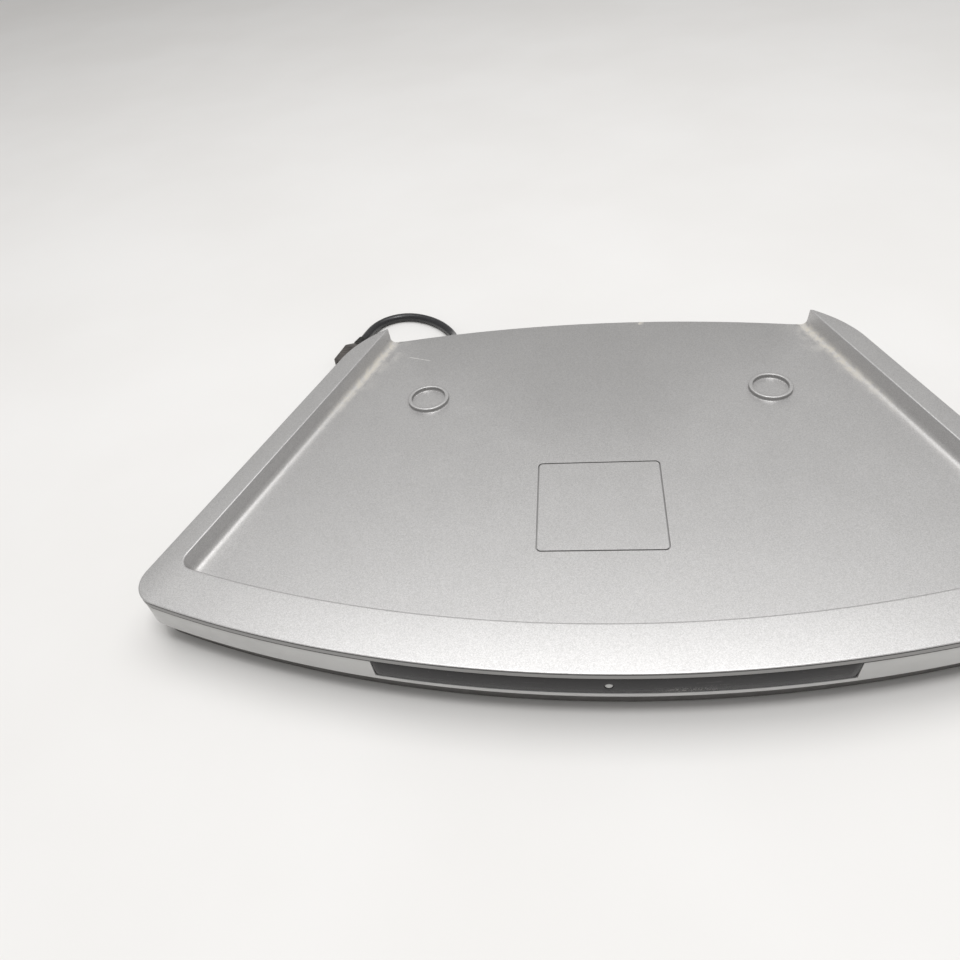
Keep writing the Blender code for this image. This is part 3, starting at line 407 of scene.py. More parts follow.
# ----- materials
class Look:
    """A Principled material, with short ways to add and wire its nodes."""

    def __init__(self, name, colour, roughness, metallic=0.0, specular=0.5):
        self.material = bpy.data.materials.new(name)
        self.material.use_nodes = True
        self.tree = self.material.node_tree
        self.shader = self.tree.nodes["Principled BSDF"]
        self.colour((*colour, 1.0))
        self.roughness(roughness)
        self.metallic(metallic)
        self.put(specular, self.shader.inputs["Specular IOR Level"])
        self.place = self.add("ShaderNodeTexCoord").outputs["Object"]

    def add(self, kind, **settings):
        node = self.tree.nodes.new(kind)
        for key, value in settings.items():
            setattr(node, key, value)
        return node

    def put(self, value, socket):
        """Links an output to a socket, or sets the socket to a plain value."""
        if isinstance(value, bpy.types.NodeSocket):
            self.tree.links.new(value, socket)
        else:
            socket.default_value = value

    def set(self, node, **sockets):
        """Puts each value or output on the node's input of that name."""
        for name, value in sockets.items():
            self.put(value, node.inputs[name])

    def noise(self, size, detail=2.0, roughness=0.5, place=None):
        """Noise with features of about that size in mm."""
        node = self.add("ShaderNodeTexNoise")
        self.set(node, Scale=1.0 / (size * MM), Detail=detail, Roughness=roughness,
                 Vector=place or self.place)
        return node.outputs["Fac"]

    def cloud(self, size, detail, to_low=0.0, to_high=1.0, roughness=0.5):
        """Values from to_low to_high in soft patches of about that size in mm."""
        return self.span(self.noise(size, detail, roughness), 0.3, 0.7, to_low, to_high)

    def cells(self, size, output="Color", feature="F1"):
        """Voronoi cells of about that size in mm."""
        node = self.add("ShaderNodeTexVoronoi", feature=feature)
        self.set(node, Scale=1.0 / (size * MM), Vector=self.place)
        return node.outputs[output]

    def stretched(self, scale):
        """The object coordinates scaled by axis."""
        node = self.add("ShaderNodeMapping")
        self.set(node, Vector=self.place, Scale=scale)
        return node.outputs["Vector"]

    def axes(self):
        """The object coordinates x, y and z in mm."""
        node = self.add("ShaderNodeSeparateXYZ")
        self.set(node, Vector=self.stretched((1.0 / MM, 1.0 / MM, 1.0 / MM)))
        return node.outputs

    def span(self, value, low, high, to_low=0.0, to_high=1.0, smooth=True):
        """Maps a value's range to another, held at its ends."""
        node = self.add("ShaderNodeMapRange",
                        interpolation_type="SMOOTHSTEP" if smooth else "LINEAR")
        self.set(node, Value=value)
        self.set(node, **{"From Min": low, "From Max": high, "To Min": to_low, "To Max": to_high})
        return node.outputs["Result"]

    def math(self, operation, a, b=0.0):
        node = self.add("ShaderNodeMath", operation=operation)
        self.put(a, node.inputs[0])
        self.put(b, node.inputs[1])
        return node.outputs["Value"]

    def band(self, value, middle, reach):
        """1 at middle, falling to 0 at reach on both sides."""
        away = self.math("ABSOLUTE", self.math("SUBTRACT", value, middle))
        return self.span(away, 0.0, reach, 1.0, 0.0)

    def product(self, *values):
        return functools.reduce(functools.partial(self.math, "MULTIPLY"), values)

    def highest(self, *values):
        return functools.reduce(functools.partial(self.math, "MAXIMUM"), values)

    def mix(self, factor, a, b):
        node = self.add("ShaderNodeMix", data_type="RGBA")
        self.put(factor, node.inputs[0])
        colours = [s for s in node.inputs if s.type == "RGBA"]
        for socket, value in zip(colours, (a, b)):
            self.put(value if isinstance(value, bpy.types.NodeSocket) else (*value, 1.0), socket)
        return [s for s in node.outputs if s.type == "RGBA"][0]

    def colour(self, value):
        self.put(value, self.shader.inputs["Base Color"])

    def roughness(self, value):
        self.put(value, self.shader.inputs["Roughness"])

    def metallic(self, value):
        self.put(value, self.shader.inputs["Metallic"])

    def bump(self, height, distance):
        """Relief from a height between 0 and 1, distance mm high; it adds to earlier relief."""
        node = self.add("ShaderNodeBump")
        self.set(node, Strength=1.0, Distance=distance * MM, Height=height)
        before = self.shader.inputs["Normal"].links
        if before:
            self.set(node, Normal=before[0].from_socket)
        self.put(node.outputs["Normal"], self.shader.inputs["Normal"])


def tray_distance(look, x, y):
    """Distance in mm from the foot of the side wall, into the tray."""
    line = look.math("SUBTRACT", TRAY_SIDE_X, look.product(y, TRAY_LEAN))
    gap = look.math("SUBTRACT", line, look.math("ABSOLUTE", x))
    return look.product(gap, side_normal(TRAY_LEAN)[0])


def front_distance(look, x, y):
    """Distance in mm from the foot of the front wall, away from the tray."""
    up = look.math("SUBTRACT", y, TRAY_FRONT_CENTRE[1])
    radius = look.math("SQRT", look.math("ADD", look.product(x, x), look.product(up, up)))
    return look.math("SUBTRACT", radius, TRAY_FRONT_RADIUS)


def near_platform(look, z):
    """1 on the platform, falling to 0 up the tray's walls."""
    return look.span(z, PLATFORM_Z + 0.3, PLATFORM_Z + 3.4, 1.0, 0.0)


def paint_soil_and_highlight(look, x, y, low, away):
    """Dust along the foot of the side walls, its pale band also a painted highlight on the fillets, a
    pale halo of dust beside it, and a mark on the rear edge.
    """
    inside = look.span(away, -0.5, 0.4)
    # the dust on the fillets; its pale band also stands in for a painted highlight there
    dust = look.product(look.span(away, 3.0, 6.6, 0.9, 0.0), inside, low,
                        look.span(y, 20.0, 80.0, 0.15, 1.0),
                        look.span(look.noise(3.2, 6.0, 0.75), 0.36, 0.6, 0.1, 1.0))
    halo = look.product(look.span(away, 3.0, 18.0, 0.42, 0.0), inside, low,
                        look.span(y, 30.0, 100.0),
                        look.span(look.noise(9.0, 5.0, 0.7), 0.42, 0.75))
    edge_mark = look.product(look.band(x, 27.0, 3.0), look.span(y, 118.0, 119.5), low,
                             look.span(look.noise(1.5, 4.0), 0.35, 0.55))
    return look.highest(dust, halo, edge_mark)


def paint_skirt(look, x, y, z, away, body):
    """The cover's outer face below the bright lip: a darker skirt under a nearly black line of painted
    shade in the groove under the lip.
    """
    past = look.highest(look.span(away, -4.0, -3.0, 1.0, 0.0),
                        look.span(front_distance(look, x, y), 3.0, 4.0))
    skirt = look.product(past, look.span(z, 27.7, 28.0, 1.0, 0.0))
    line_z = 28.03  # in the groove under the lip
    # a nearly black line of painted shade in the groove under the lip
    line = look.product(past, look.span(look.band(z, line_z, 0.5), 0.1, 0.5))
    return look.mix(line, look.mix(skirt, body, (0.3, 0.297, 0.293)), (0.06, 0.059, 0.057))


def paint_shade(look, y, z, away):
    """How far the rings' walls and the square line are darkened."""
    on_platform = look.span(away, 10.0, 11.0)
    ring_middle, ring_reach = PLATFORM_Z + 0.5 * RING_HEIGHT, 0.55 * RING_HEIGHT
    ring_wall = look.product(on_platform, look.band(z, ring_middle, ring_reach), 0.6)
    before_rings = look.span(y, 5.0, 6.0, 1.0, 0.0)
    sunk = look.span(z, PLATFORM_Z - 0.25, PLATFORM_Z - 0.05, 1.0, 0.0)
    return look.highest(ring_wall, look.product(on_platform, before_rings, sunk, 0.48))


def paint_scratch(look, x, y, low):
    """One light scratch beside the left ring, along a slanting line."""
    slope, line_y, middle_x, half_length = 0.347, 59.4, -97.3, 8.5
    run = look.math("ADD", look.product(x, slope), y)
    ends = look.span(look.band(x, middle_x, half_length), 0.0, 0.4)
    broken = look.span(look.noise(1.6, 3.0), 0.2, 0.5, 0.35, 1.0)
    return look.product(look.band(run, line_y, 0.6), ends, low, broken)


def silver_paint():
    """Silver paint with a fine flake, dust and a painted highlight along the foot of the walls,
    painted shade on the rings' walls, in the square line and in the groove under the lip, and a light
    scratch.
    """
    look = Look("silver_paint", (0.5, 0.5, 0.5), 0.42, 0.82)
    x, y, z = look.axes()
    low = near_platform(look, z)
    away = tray_distance(look, x, y)
    flake = look.add("ShaderNodeSeparateColor")
    look.put(look.cells(0.3), flake.inputs["Color"])
    fine = look.span(flake.outputs["Red"], 0.0, 1.0, smooth=False)
    grain = look.mix(fine, (0.48, 0.475, 0.472), (0.638, 0.631, 0.628))
    cloud = look.cloud(60.0, 3.0, 0.0, 0.12)
    body = look.mix(cloud, grain, (0.516, 0.511, 0.507))
    body = paint_skirt(look, x, y, z, away, body)
    body = look.mix(paint_shade(look, y, z, away), body, (0.12, 0.118, 0.115))
    soil_and_highlight = paint_soil_and_highlight(look, x, y, low, away)
    # dust colour; on the fillets it is also a painted highlight
    body = look.mix(soil_and_highlight, body, (0.56, 0.53, 0.47))
    look.colour(look.mix(paint_scratch(look, x, y, low), body, (0.88, 0.87, 0.85)))
    look.metallic(look.span(soil_and_highlight, 0.0, 1.0, 0.82, 0.1, smooth=False))
    rough = look.cloud(14.0, 4.0, 0.395, 0.42)
    look.roughness(look.math("ADD", rough, look.product(soil_and_highlight, 0.3)))
    look.bump(flake.outputs["Green"], 0.005)
    look.bump(look.noise(0.8, 2.0), 0.006)
    return look.material


def satin_plastic():
    """Smooth pale grey moulding with faint clouding, with painted shade: the undercut base below the
    lip a warm near-black, and a dark line along the seam under the cover.
    """
    look = Look("pale_plastic", (0.42, 0.42, 0.41), 0.42)
    _, _, z = look.axes()
    tone = look.cloud(26.0, 4.0)
    pale = look.mix(tone, (0.50, 0.498, 0.49), (0.55, 0.547, 0.537))
    # painted shade: the undercut base under the lip's overhang, warm and near black
    undercut_shade = look.span(z, UNDERCUT_Z - 0.3, UNDERCUT_Z + 0.1, 1.0, 0.0)
    # painted shade in the seam's gap under the cover
    seam_shade = look.span(z, HOUSING_TOP_Z - 0.3, HOUSING_TOP_Z - 0.12)
    dark = look.highest(undercut_shade, look.product(seam_shade, 0.8))
    look.colour(look.mix(dark, pale, (0.035, 0.032, 0.029)))
    look.roughness(look.cloud(7.0, 5.0, 0.34, 0.5, 0.6))
    look.bump(look.noise(0.35, 2.0), 0.006)
    return look.material


def smoked_gloss():
    """Dark glossy acrylic with fine scuffs."""
    look = Look("smoked_window", (0.03, 0.03, 0.032), 0.14, specular=0.22)
    x, _, z = look.axes()
    scuffed = look.product(look.band(x, 30.0, 16.0), look.span(z, 16.5, 19.5, 1.0, 0.0),
                           look.span(look.noise(0.7, 5.0, 0.75), 0.53, 0.58))
    speck = look.span(look.cells(3.4, "Distance"), 0.03, 0.06, 1.0, 0.0)
    hair = look.span(look.noise(1.0, 3.0, 0.6, look.stretched((0.06, 1.0, 1.0))), 0.64, 0.68)
    marks = look.highest(scuffed, look.product(speck, 0.2), look.product(hair, 0.08))
    look.colour(look.mix(marks, (0.031, 0.03, 0.031), (0.24, 0.23, 0.22)))
    smear = look.span(look.noise(9.0, 4.0, 0.6), 0.35, 0.7, 0.12, 0.24)
    look.roughness(look.math("ADD", smear, look.product(marks, 0.35)))
    return look.material


def spark_black():
    """Black moulding with a fine spark-eroded surface."""
    look = Look("black_plastic", (0.025, 0.025, 0.025), 0.5)
    look.colour(look.mix(look.cloud(6.0, 4.0), (0.018, 0.018, 0.018), (0.034, 0.033, 0.032)))
    look.roughness(look.cloud(3.0, 4.0, 0.42, 0.58))
    look.bump(look.cells(0.5, "Distance"), 0.03)
    return look.material


def plug_plastic():
    """Worn black overmould, browned and dusty on its faces."""
    look = Look("plug_plastic", (0.06, 0.055, 0.05), 0.5)
    tone = look.cloud(4.0, 5.0, roughness=0.6)
    look.colour(look.mix(tone, (0.048, 0.043, 0.04), (0.085, 0.076, 0.07)))
    look.roughness(look.cloud(2.0, 4.0, 0.38, 0.55))
    look.bump(look.cells(0.4, "Distance"), 0.02)
    return look.material


def rubber():
    """Matt black rubber, a little dusty."""
    look = Look("black_rubber", (0.02, 0.02, 0.02), 0.7)
    tone = look.span(look.noise(3.0, 5.0, 0.6), 0.35, 0.75)
    look.colour(look.mix(tone, (0.016, 0.016, 0.016), (0.045, 0.043, 0.04)))
    look.roughness(look.cloud(1.6, 4.0, 0.62, 0.85))
    look.bump(look.noise(0.3, 3.0), 0.03)
    return look.material


def jacket():
    """Extruded black jacket, satin, with a little dust."""
    look = Look("cord_jacket", (0.022, 0.022, 0.024), 0.3)
    dust = look.span(look.noise(4.0, 6.0, 0.7), 0.55, 0.8)
    look.colour(look.mix(dust, (0.02, 0.02, 0.022), (0.075, 0.07, 0.062)))
    look.roughness(look.cloud(2.2, 4.0, 0.24, 0.38))
    look.bump(look.noise(0.9, 3.0), 0.02)
    return look.material


def plated(name, colour, roughness, streak):
    """Plated sheet metal with fine streaks."""
    look = Look(name, colour, roughness, 1.0)
    lines = look.noise(0.4, 3.0, 0.6, look.stretched(streak))
    darker = tuple(c * 0.78 for c in colour)
    look.colour(look.mix(look.span(lines, 0.3, 0.7), darker, colour))
    look.roughness(look.cloud(2.0, 4.0, roughness - 0.06, roughness + 0.12))
    look.bump(lines, 0.006)
    return look.material


def board_mask():
    """Green solder mask over tracks and pads."""
    look = Look("board_green", (0.02, 0.12, 0.05), 0.35)
    tracks = look.span(look.cells(2.4, "Distance", "DISTANCE_TO_EDGE"), 0.04, 0.07, 1.0, 0.0)
    pads = look.span(look.cells(3.4, "Distance"), 0.10, 0.13, 1.0, 0.0)
    green = look.mix(tracks, (0.012, 0.085, 0.035), (0.03, 0.17, 0.07))
    look.colour(look.mix(pads, green, (0.55, 0.53, 0.46)))
    look.metallic(look.product(pads, 0.9))
    look.roughness(look.cloud(5.0, 3.0, 0.28, 0.42))
    look.bump(tracks, 0.03)
    return look.material


def moulded(name, dark, light, roughness):
    """A plain moulding: clouded tone, fine grain."""
    look = Look(name, dark, roughness)
    look.colour(look.mix(look.cloud(4.0, 4.0), dark, light))
    look.roughness(look.cloud(1.5, 4.0, roughness - 0.07, roughness + 0.1))
    look.bump(look.noise(0.25, 2.0), 0.012)
    return look.material


def floor_look():
    """A plain pale floor with a barely uneven tone."""
    look = Look("pale_floor", (0.77, 0.76, 0.75), 0.6, specular=0.2)
    look.colour(look.mix(look.cloud(160.0, 4.0), (0.76, 0.75, 0.737), (0.785, 0.777, 0.767)))
    return look.material


SILVER = silver_paint()
PALE = satin_plastic()
SMOKED = smoked_gloss()
BLACK = spark_black()
PLUG_BLACK = plug_plastic()
RUBBER = rubber()
JACKET = jacket()
STEEL = plated("steel", (0.62, 0.62, 0.61), 0.3, (1.0, 0.08, 1.0))
GOLD = plated("contact_gold", (0.83, 0.62, 0.26), 0.25, (1.0, 0.1, 1.0))
BOARD = board_mask()
CHIP = moulded("chip_black", (0.018, 0.018, 0.02), (0.035, 0.035, 0.037), 0.45)
WHITE = moulded("flex_white", (0.66, 0.66, 0.62), (0.74, 0.74, 0.71), 0.42)
GUIDE = moulded("light_guide", (0.5, 0.5, 0.49), (0.6, 0.6, 0.59), 0.3)


# ----- lead
def smooth_route(points, spacing):
    """Evenly spaced points on a Catmull-Rom curve through the route's own points."""
    route = [np.array(p, float) for p in points]
    padded = [2 * route[0] - route[1]] + route + [2 * route[-1] - route[-2]]
    fine = []
    steps = 16  # between two neighbouring route points
    for p0, p1, p2, p3 in zip(padded, padded[1:], padded[2:], padded[3:]):
        for k in range(steps):
            t = k / steps
            fine.append(0.5 * (2 * p1 + (p2 - p0) * t + (2 * p0 - 5 * p1 + 4 * p2 - p3) * t * t
                               + (3 * p1 - p0 - 3 * p2 + p3) * t ** 3))
    fine.append(route[-1])
    fine = np.array(fine)
    run = np.concatenate([[0.0], np.cumsum(np.linalg.norm(np.diff(fine, axis=0), axis=1))])
    count = max(2, round(run[-1] / spacing))
    places = np.linspace(0.0, run[-1], count + 1)
    return [tuple(float(np.interp(s, run, fine[:, axis])) for axis in range(3)) for s in places]


def make_lead():
    curve = bpy.data.curves.new("lead", "CURVE")
    curve.dimensions = "3D"
    curve.bevel_depth = LEAD_DIAMETER / 2 * MM
    curve.bevel_resolution = 8
    curve.use_fill_caps = True
    points = smooth_route(LEAD_ROUTE, 1.2)
    spline = curve.splines.new("POLY")
    spline.points.add(len(points) - 1)
    for point, place in zip(spline.points, points):
        point.co = (place[0] * MM, place[1] * MM, place[2] * MM, 1.0)
    spline.use_smooth = True
    return show(new_object("lead_cord", curve), JACKET, ["lead"])


def make_gland():
    """Strain relief through the rear panel: a flange each side and a tapered, ribbed sleeve."""
    inner = BAY_Y - PANEL_THICKNESS
    profile = [(4.3, inner - 2.0), (4.6, inner - 1.8), (4.6, inner - 0.4), (3.6, inner - 0.3),
               (3.6, BAY_Y + 0.3), (4.6, BAY_Y + 0.35), (4.8, BAY_Y + 0.6), (4.8, BAY_Y + 1.8),
               (4.6, BAY_Y + 2.2), (3.9, BAY_Y + 2.4)]
    start, end = BAY_Y + 3.2, BAY_Y + 16.2
    ribs = 5
    pitch = (end - start) / ribs
    rib_end = 0.55 * pitch
    for i in range(ribs):
        y = start + pitch * i
        wide = 4.1 - 1.2 * (i + 0.5) / ribs
        neck = wide - 0.45
        profile += [(neck, y), (wide, y + 0.2), (wide - 0.02, y + rib_end), (neck, y + rib_end + 0.2)]
    profile += [(2.75, end), (2.7, BAY_Y + 17.0)]
    return show(turned_y("lead_strain_relief", LEAD_X, LEAD_Z, profile), RUBBER,
                ["lead_gland"])


def plug_point(along, across, up):
    end = LEAD_ROUTE[-1]
    hx, hy = unit(*PLUG_HEADING)
    return (end[0] + hx * along - hy * across, end[1] + hy * along + hx * across, PLUG_Z + up)


def rounded_rectangle(half_width, half_height, radius, steps=6):
    """Points round a rectangle with rounded corners, as (across, up)."""
    points = []
    for quarter in range(4):
        cx = (half_width - radius) * (1 if quarter in (0, 3) else -1)
        cy = (half_height - radius) * (1 if quarter in (0, 1) else -1)
        for i in range(steps + 1):
            a = math.pi / 2 * (quarter + i / steps)
            points.append((cx + radius * math.cos(a), cy + radius * math.sin(a)))
    return points


def plug_section(along, half_width, half_height, radius):
    return [plug_point(along, across, up)
            for across, up in rounded_rectangle(half_width, half_height, radius)]


def make_plug():
    """The plug's boxy body, from its shoulders to the contact pocket."""
    w, h = PLUG_HALF_WIDTH, PLUG_HALF_HEIGHT
    start, end = PLUG_START, PLUG_START + PLUG_LENGTH
    levels = [(start, w - 3.0, h - 1.4, 1.2), (start + 0.5, w - 2.8, h - 1.0, 1.2),
              (start + 3.8, w - 0.3, h - 0.15, 0.9), (start + 4.4, w - 0.02, h - 0.02, 0.8)]
    grips, pitch = 4, 1.8
    for i in range(grips):  # shallow finger grips across the body
        at = start + 6.4 + pitch * i
        levels += [(at, w, h, 0.8), (at + 0.25, w - 0.35, h - 0.3, 0.7),
                   (at + 0.85, w - 0.35, h - 0.3, 0.7), (at + 1.1, w, h, 0.8)]
    levels += [(end - 0.7, w, h, 0.8), (end - 0.25, w - 0.15, h - 0.15, 0.8),
               (end, w - 0.5, h - 0.5, 0.7)]
    w, h = 4.2, 2.2  # the pocket round the contacts
    levels += [(end, w + 0.2, h + 0.2, 0.5), (end - 0.3, w, h, 0.4), (end - 5.9, w, h, 0.4)]
    body = loft("plug_shell", [plug_section(*level) for level in levels])
    return show(body, PLUG_BLACK, ["plug_body"])


def make_plug_sleeve():
    """The collared sleeve between the lead and the plug's body."""
    profile = [(0.3, 2.6), (0.5, 2.9)]
    collars, pitch = 4, 1.6
    for i in range(collars):
        at = 1.0 + pitch * i
        wide = 3.3 + 0.15 * i
        profile += [(at, wide - 0.5), (at + 0.15, wide), (at + 0.85, wide), (at + 1.0, wide - 0.5)]
    profile += [(PLUG_START - 1.0, 3.3), (PLUG_START - 0.3, 3.3)]
    loops = [[plug_point(along, across, up) for across, up in circle((0.0, 0.0), radius, 32)]
             for along, radius in profile]
    return show(loft("plug_sleeve", loops), RUBBER, ["plug_strain_relief"])


lead = make_lead()
gland = make_gland()
plug = make_plug()
plug_sleeve = make_plug_sleeve()


# ----- cover
LIP_HEIGHT = 0.45  # the bright lip above the groove
LIP_GROOVE = 0.6
LIP_GROOVE_INSET = 1.1
SEAM = 0.25  # the cover's lower edge is this much above the CAD's
NARROW_RIM = 5.0  # under this width the edges shrink with it
POCKET_FROM = 7.0  # the rim is hollow from this width,
POCKET_GROWTH = 4.0  # and as high as it gets this much wider
POCKET_ROOF_Z = RIM_OUTER_Z - COVER_WALL
COVER_SHARP = math.radians(50.0)


def cover_section(outer, inner):
    """One closed section of the cover, with the platform's top and under points at known places."""
    ox, oy, (onx, ony) = outer
    ix, iy, (inx, iny) = inner
    width = math.hypot(ox - ix, oy - iy)
    share = max(0.04, min(1.0, width / NARROW_RIM))
    wall = min(COVER_WALL, 0.35 * width)
    depth = max(0.05, min(1.0, (width - POCKET_FROM) / POCKET_GROWTH))
    roof = COVER_BOTTOM_Z + (POCKET_ROOF_Z - COVER_BOTTOM_Z) * depth
    edge_z = RIM_INNER_Z - (RIM_INNER_Z - RIM_OUTER_Z) * min(1.0, width / FULL_RIM)
    groove_top = edge_z - LIP_HEIGHT
    groove_bottom = groove_top - LIP_GROOVE

    def out(inset, z):
        return (ox - inset * share * onx, oy - inset * share * ony, z)

    def tray(offset, z):
        """offset mm from the tray's edge, into the tray; negative is inside the rim."""
        if offset < 0:
            offset *= share
        return (ix - offset * inx, iy - offset * iny, z)

    def inner_wall(inset, z):
        return (ox - inset * onx, oy - inset * ony, z)

    return [
        out(0.3, COVER_BOTTOM_Z + SEAM), out(0.15, COVER_BOTTOM_Z + SEAM + 0.05),
        out(0.1, COVER_BOTTOM_Z + SEAM + 0.2), out(0.1, groove_bottom - 0.12),
        out(0.22, groove_bottom), out(LIP_GROOVE_INSET, groove_bottom + 0.04),
        out(LIP_GROOVE_INSET, groove_top), out(0.06, groove_top + 0.03), out(0.0, groove_top + 0.1),
        out(0.05, edge_z - 0.12), out(0.25, edge_z), out(0.7, edge_z + 0.04),
        tray(-0.75, RIM_INNER_Z - 0.02), tray(-0.35, RIM_INNER_Z - 0.02),
        tray(-0.1, RIM_INNER_Z - 0.12), tray(0.08, RIM_INNER_Z - 0.32),
        tray(0.14, RIM_INNER_Z - 0.65),
        tray(0.5, PLATFORM_Z + 3.3), tray(0.72, PLATFORM_Z + 2.2), tray(1.2, PLATFORM_Z + 1.25),
        tray(1.9, PLATFORM_Z + 0.6), tray(2.8, PLATFORM_Z + 0.17), tray(3.7, PLATFORM_Z),
        tray(4.8, PLATFORM_Z),
        tray(4.8, PLATFORM_UNDER_Z), tray(0.3 - wall, PLATFORM_UNDER_Z), tray(-wall, COVER_BOTTOM_Z),
        tray(-wall - 0.05, roof), inner_wall(wall + 0.05, roof), inner_wall(wall, COVER_BOTTOM_Z),
    ]


TOP_POINT = 23  # where a section meets the platform's top,
UNDER_POINT = 24  # and its underside


def rounded_square(half, radius):
    return [(x, y + SQUARE_Y) for x, y in rounded_rectangle(half, half, radius, 8)]


def nested(bm, loops):
    """Skins nested loops, closes the innermost, and returns the outermost row."""
    rows = [add_loop(bm, points) for points in loops]
    for a, b in zip(rows, rows[1:]):
        skin(bm, a, b)
    bm.faces.new(rows[-1])
    return rows[0]


def platform_groove(bm):
    """The square line: an outer edge, a flat floor and the square inside it."""
    edge, floor = GROOVE_HALF_WIDTH, PLATFORM_Z - GROOVE_DEPTH
    levels = ((edge + 1.2, PLATFORM_Z, 3.4), (edge, PLATFORM_Z, 2.4), (edge - 0.03, floor, 2.35),
              (0.03 - edge, floor, 1.75), (-edge, PLATFORM_Z, 1.7), (-edge - 1.0, PLATFORM_Z, 1.2))
    return nested(bm, [at_height(rounded_square(SQUARE_HALF + grow, radius), z)
                       for grow, z, radius in levels])


def platform_ring(bm, x):
    """A raised locating ring with rounded edges and small fillets at its foot."""
    top = PLATFORM_Z + RING_HEIGHT
    profile = ((RING_OUTER + 1.4, PLATFORM_Z), (RING_OUTER + 0.2, PLATFORM_Z),
               (RING_OUTER + 0.06, PLATFORM_Z + 0.04), (RING_OUTER, PLATFORM_Z + 0.15),
               (RING_OUTER, top - 0.25), (RING_OUTER - 0.07, top - 0.08), (RING_OUTER - 0.24, top),
               (RING_INNER + 0.24, top), (RING_INNER + 0.07, top - 0.08), (RING_INNER, top - 0.25),
               (RING_INNER, PLATFORM_Z + 0.15), (RING_INNER - 0.06, PLATFORM_Z + 0.04),
               (RING_INNER - 0.2, PLATFORM_Z), (RING_INNER - 1.4, PLATFORM_Z))
    return nested(bm, [at_height(circle((x, RING_Y), r, 72), z) for r, z in profile])


def loop_edges(row):
    """The edges round a closed row of vertices."""
    return [next(e for e in a.link_edges if e.other_vert(a) is b)
            for a, b in zip(row, row[1:] + row[:1])]


def make_cover():
    """The tray: swept sections round the rim, the rear edge, and the platform filled in last."""
    half = [cover_section(o, i) for o, i in zip(outer_half(0.0), tray_half())]
    left = [[(-x, y, z) for x, y, z in section] for section in half[:0:-1]]
    bm = bmesh.new()
    rows = [add_loop(bm, section) for section in left + half]
    count = len(rows[0])
    for a, b in zip(rows, rows[1:]):
        for i in range(count):
            if i != TOP_POINT:
                j = (i + 1) % count
                bm.faces.new((a[i], a[j], b[j], b[i]))
    bm.faces.new(rows[0])
    bm.faces.new(rows[-1])

    end = rows[-1][TOP_POINT].co
    start = angle_of(REAR_CENTRE, end)
    radius = math.hypot(end.x, end.y - REAR_CENTRE[1])
    rounding = ((0.35, PLATFORM_Z, TOP_POINT), (0.1, PLATFORM_Z - 0.1, TOP_POINT),
                (0.0, PLATFORM_Z - 0.35, TOP_POINT), (0.0, PLATFORM_UNDER_Z + 0.35, UNDER_POINT),
                (0.35, PLATFORM_UNDER_Z, UNDER_POINT))
    chains = []
    for inset, z, at in rounding:  # the platform's bowed rear edge
        arc = arc_points(REAR_CENTRE, radius - inset, start, math.pi - start, 2 * REAR_STEPS,
                         (False, False))
        chains.append([rows[-1][at]] + [bm.verts.new((x, y, z)) for x, y, _ in arc] + [rows[0][at]])
    for a, b in zip(chains, chains[1:]):
        skin(bm, a, b, closed=False)
    bm.faces.new([row[UNDER_POINT] for row in rows] + chains[-1][1:-1])

    border = [row[TOP_POINT] for row in rows] + chains[0][1:-1]
    for i, a in enumerate(border):
        b = border[(i + 1) % len(border)]
        if not bm.edges.get((a, b)):
            bm.edges.new((a, b))
    edges = loop_edges(border)
    for hole in (platform_groove(bm), platform_ring(bm, -RING_X), platform_ring(bm, RING_X)):
        edges += loop_edges(hole)
    bmesh.ops.triangle_fill(bm, use_beauty=True, use_dissolve=False, edges=edges, normal=(0, 0, 1))
    cover = mesh_object("tray_cover", bm, COVER_SHARP)
    return show(cover, SILVER, ["top_cover"])


# ----- housing
SCREW_BORE = 3.5  # radius of the bore over a screw's head
BORE_DEPTH = 2.2
SEAT_DEPTH = 0.5  # the feet stand in shallow seats


def fascia_y(x, inset):
    """Y of the bowed front at x, moved in by inset."""
    radius = FRONT_RADIUS - inset
    return FRONT_CENTRE[1] - math.sqrt(radius * radius - x * x)


def bowed_strip(name, half_top, half_bottom, z0, z1, inset, thickness, lean=0.0, edge=0.0):
    """A strip that follows the bowed front; lean is how much further in its bottom sits, and
    edge rounds its front edges and ends."""
    def face(x, z, inward):
        return (x, fascia_y(x, inset + lean * (z1 - z) / (z1 - z0) + inward), z)

    segments = 60
    near_end = 1.0 - edge / half_top
    inner = [(2.0 * i / segments - 1.0, 0.0) for i in range(1, segments)]
    if edge:
        places = [(-1.0, edge), (-near_end, 0.0)] + inner + [(near_end, 0.0), (1.0, edge)]
    else:
        places = [(-1.0, 0.0)] + inner + [(1.0, 0.0)]
    loops = []
    for t, back in places:
        top, bottom = t * half_top, t * half_bottom
        loops.append([
            face(bottom, z0, max(edge, back)), face(bottom, z0 + edge * 0.3, max(edge * 0.3, back)),
            face(bottom, z0 + edge, back), face(top, z1 - edge, back),
            face(top, z1 - edge * 0.3, max(edge * 0.3, back)), face(top, z1, max(edge, back)),
            face(top, z1, thickness), face(bottom, z0, thickness)])
    return loft(name, loops)


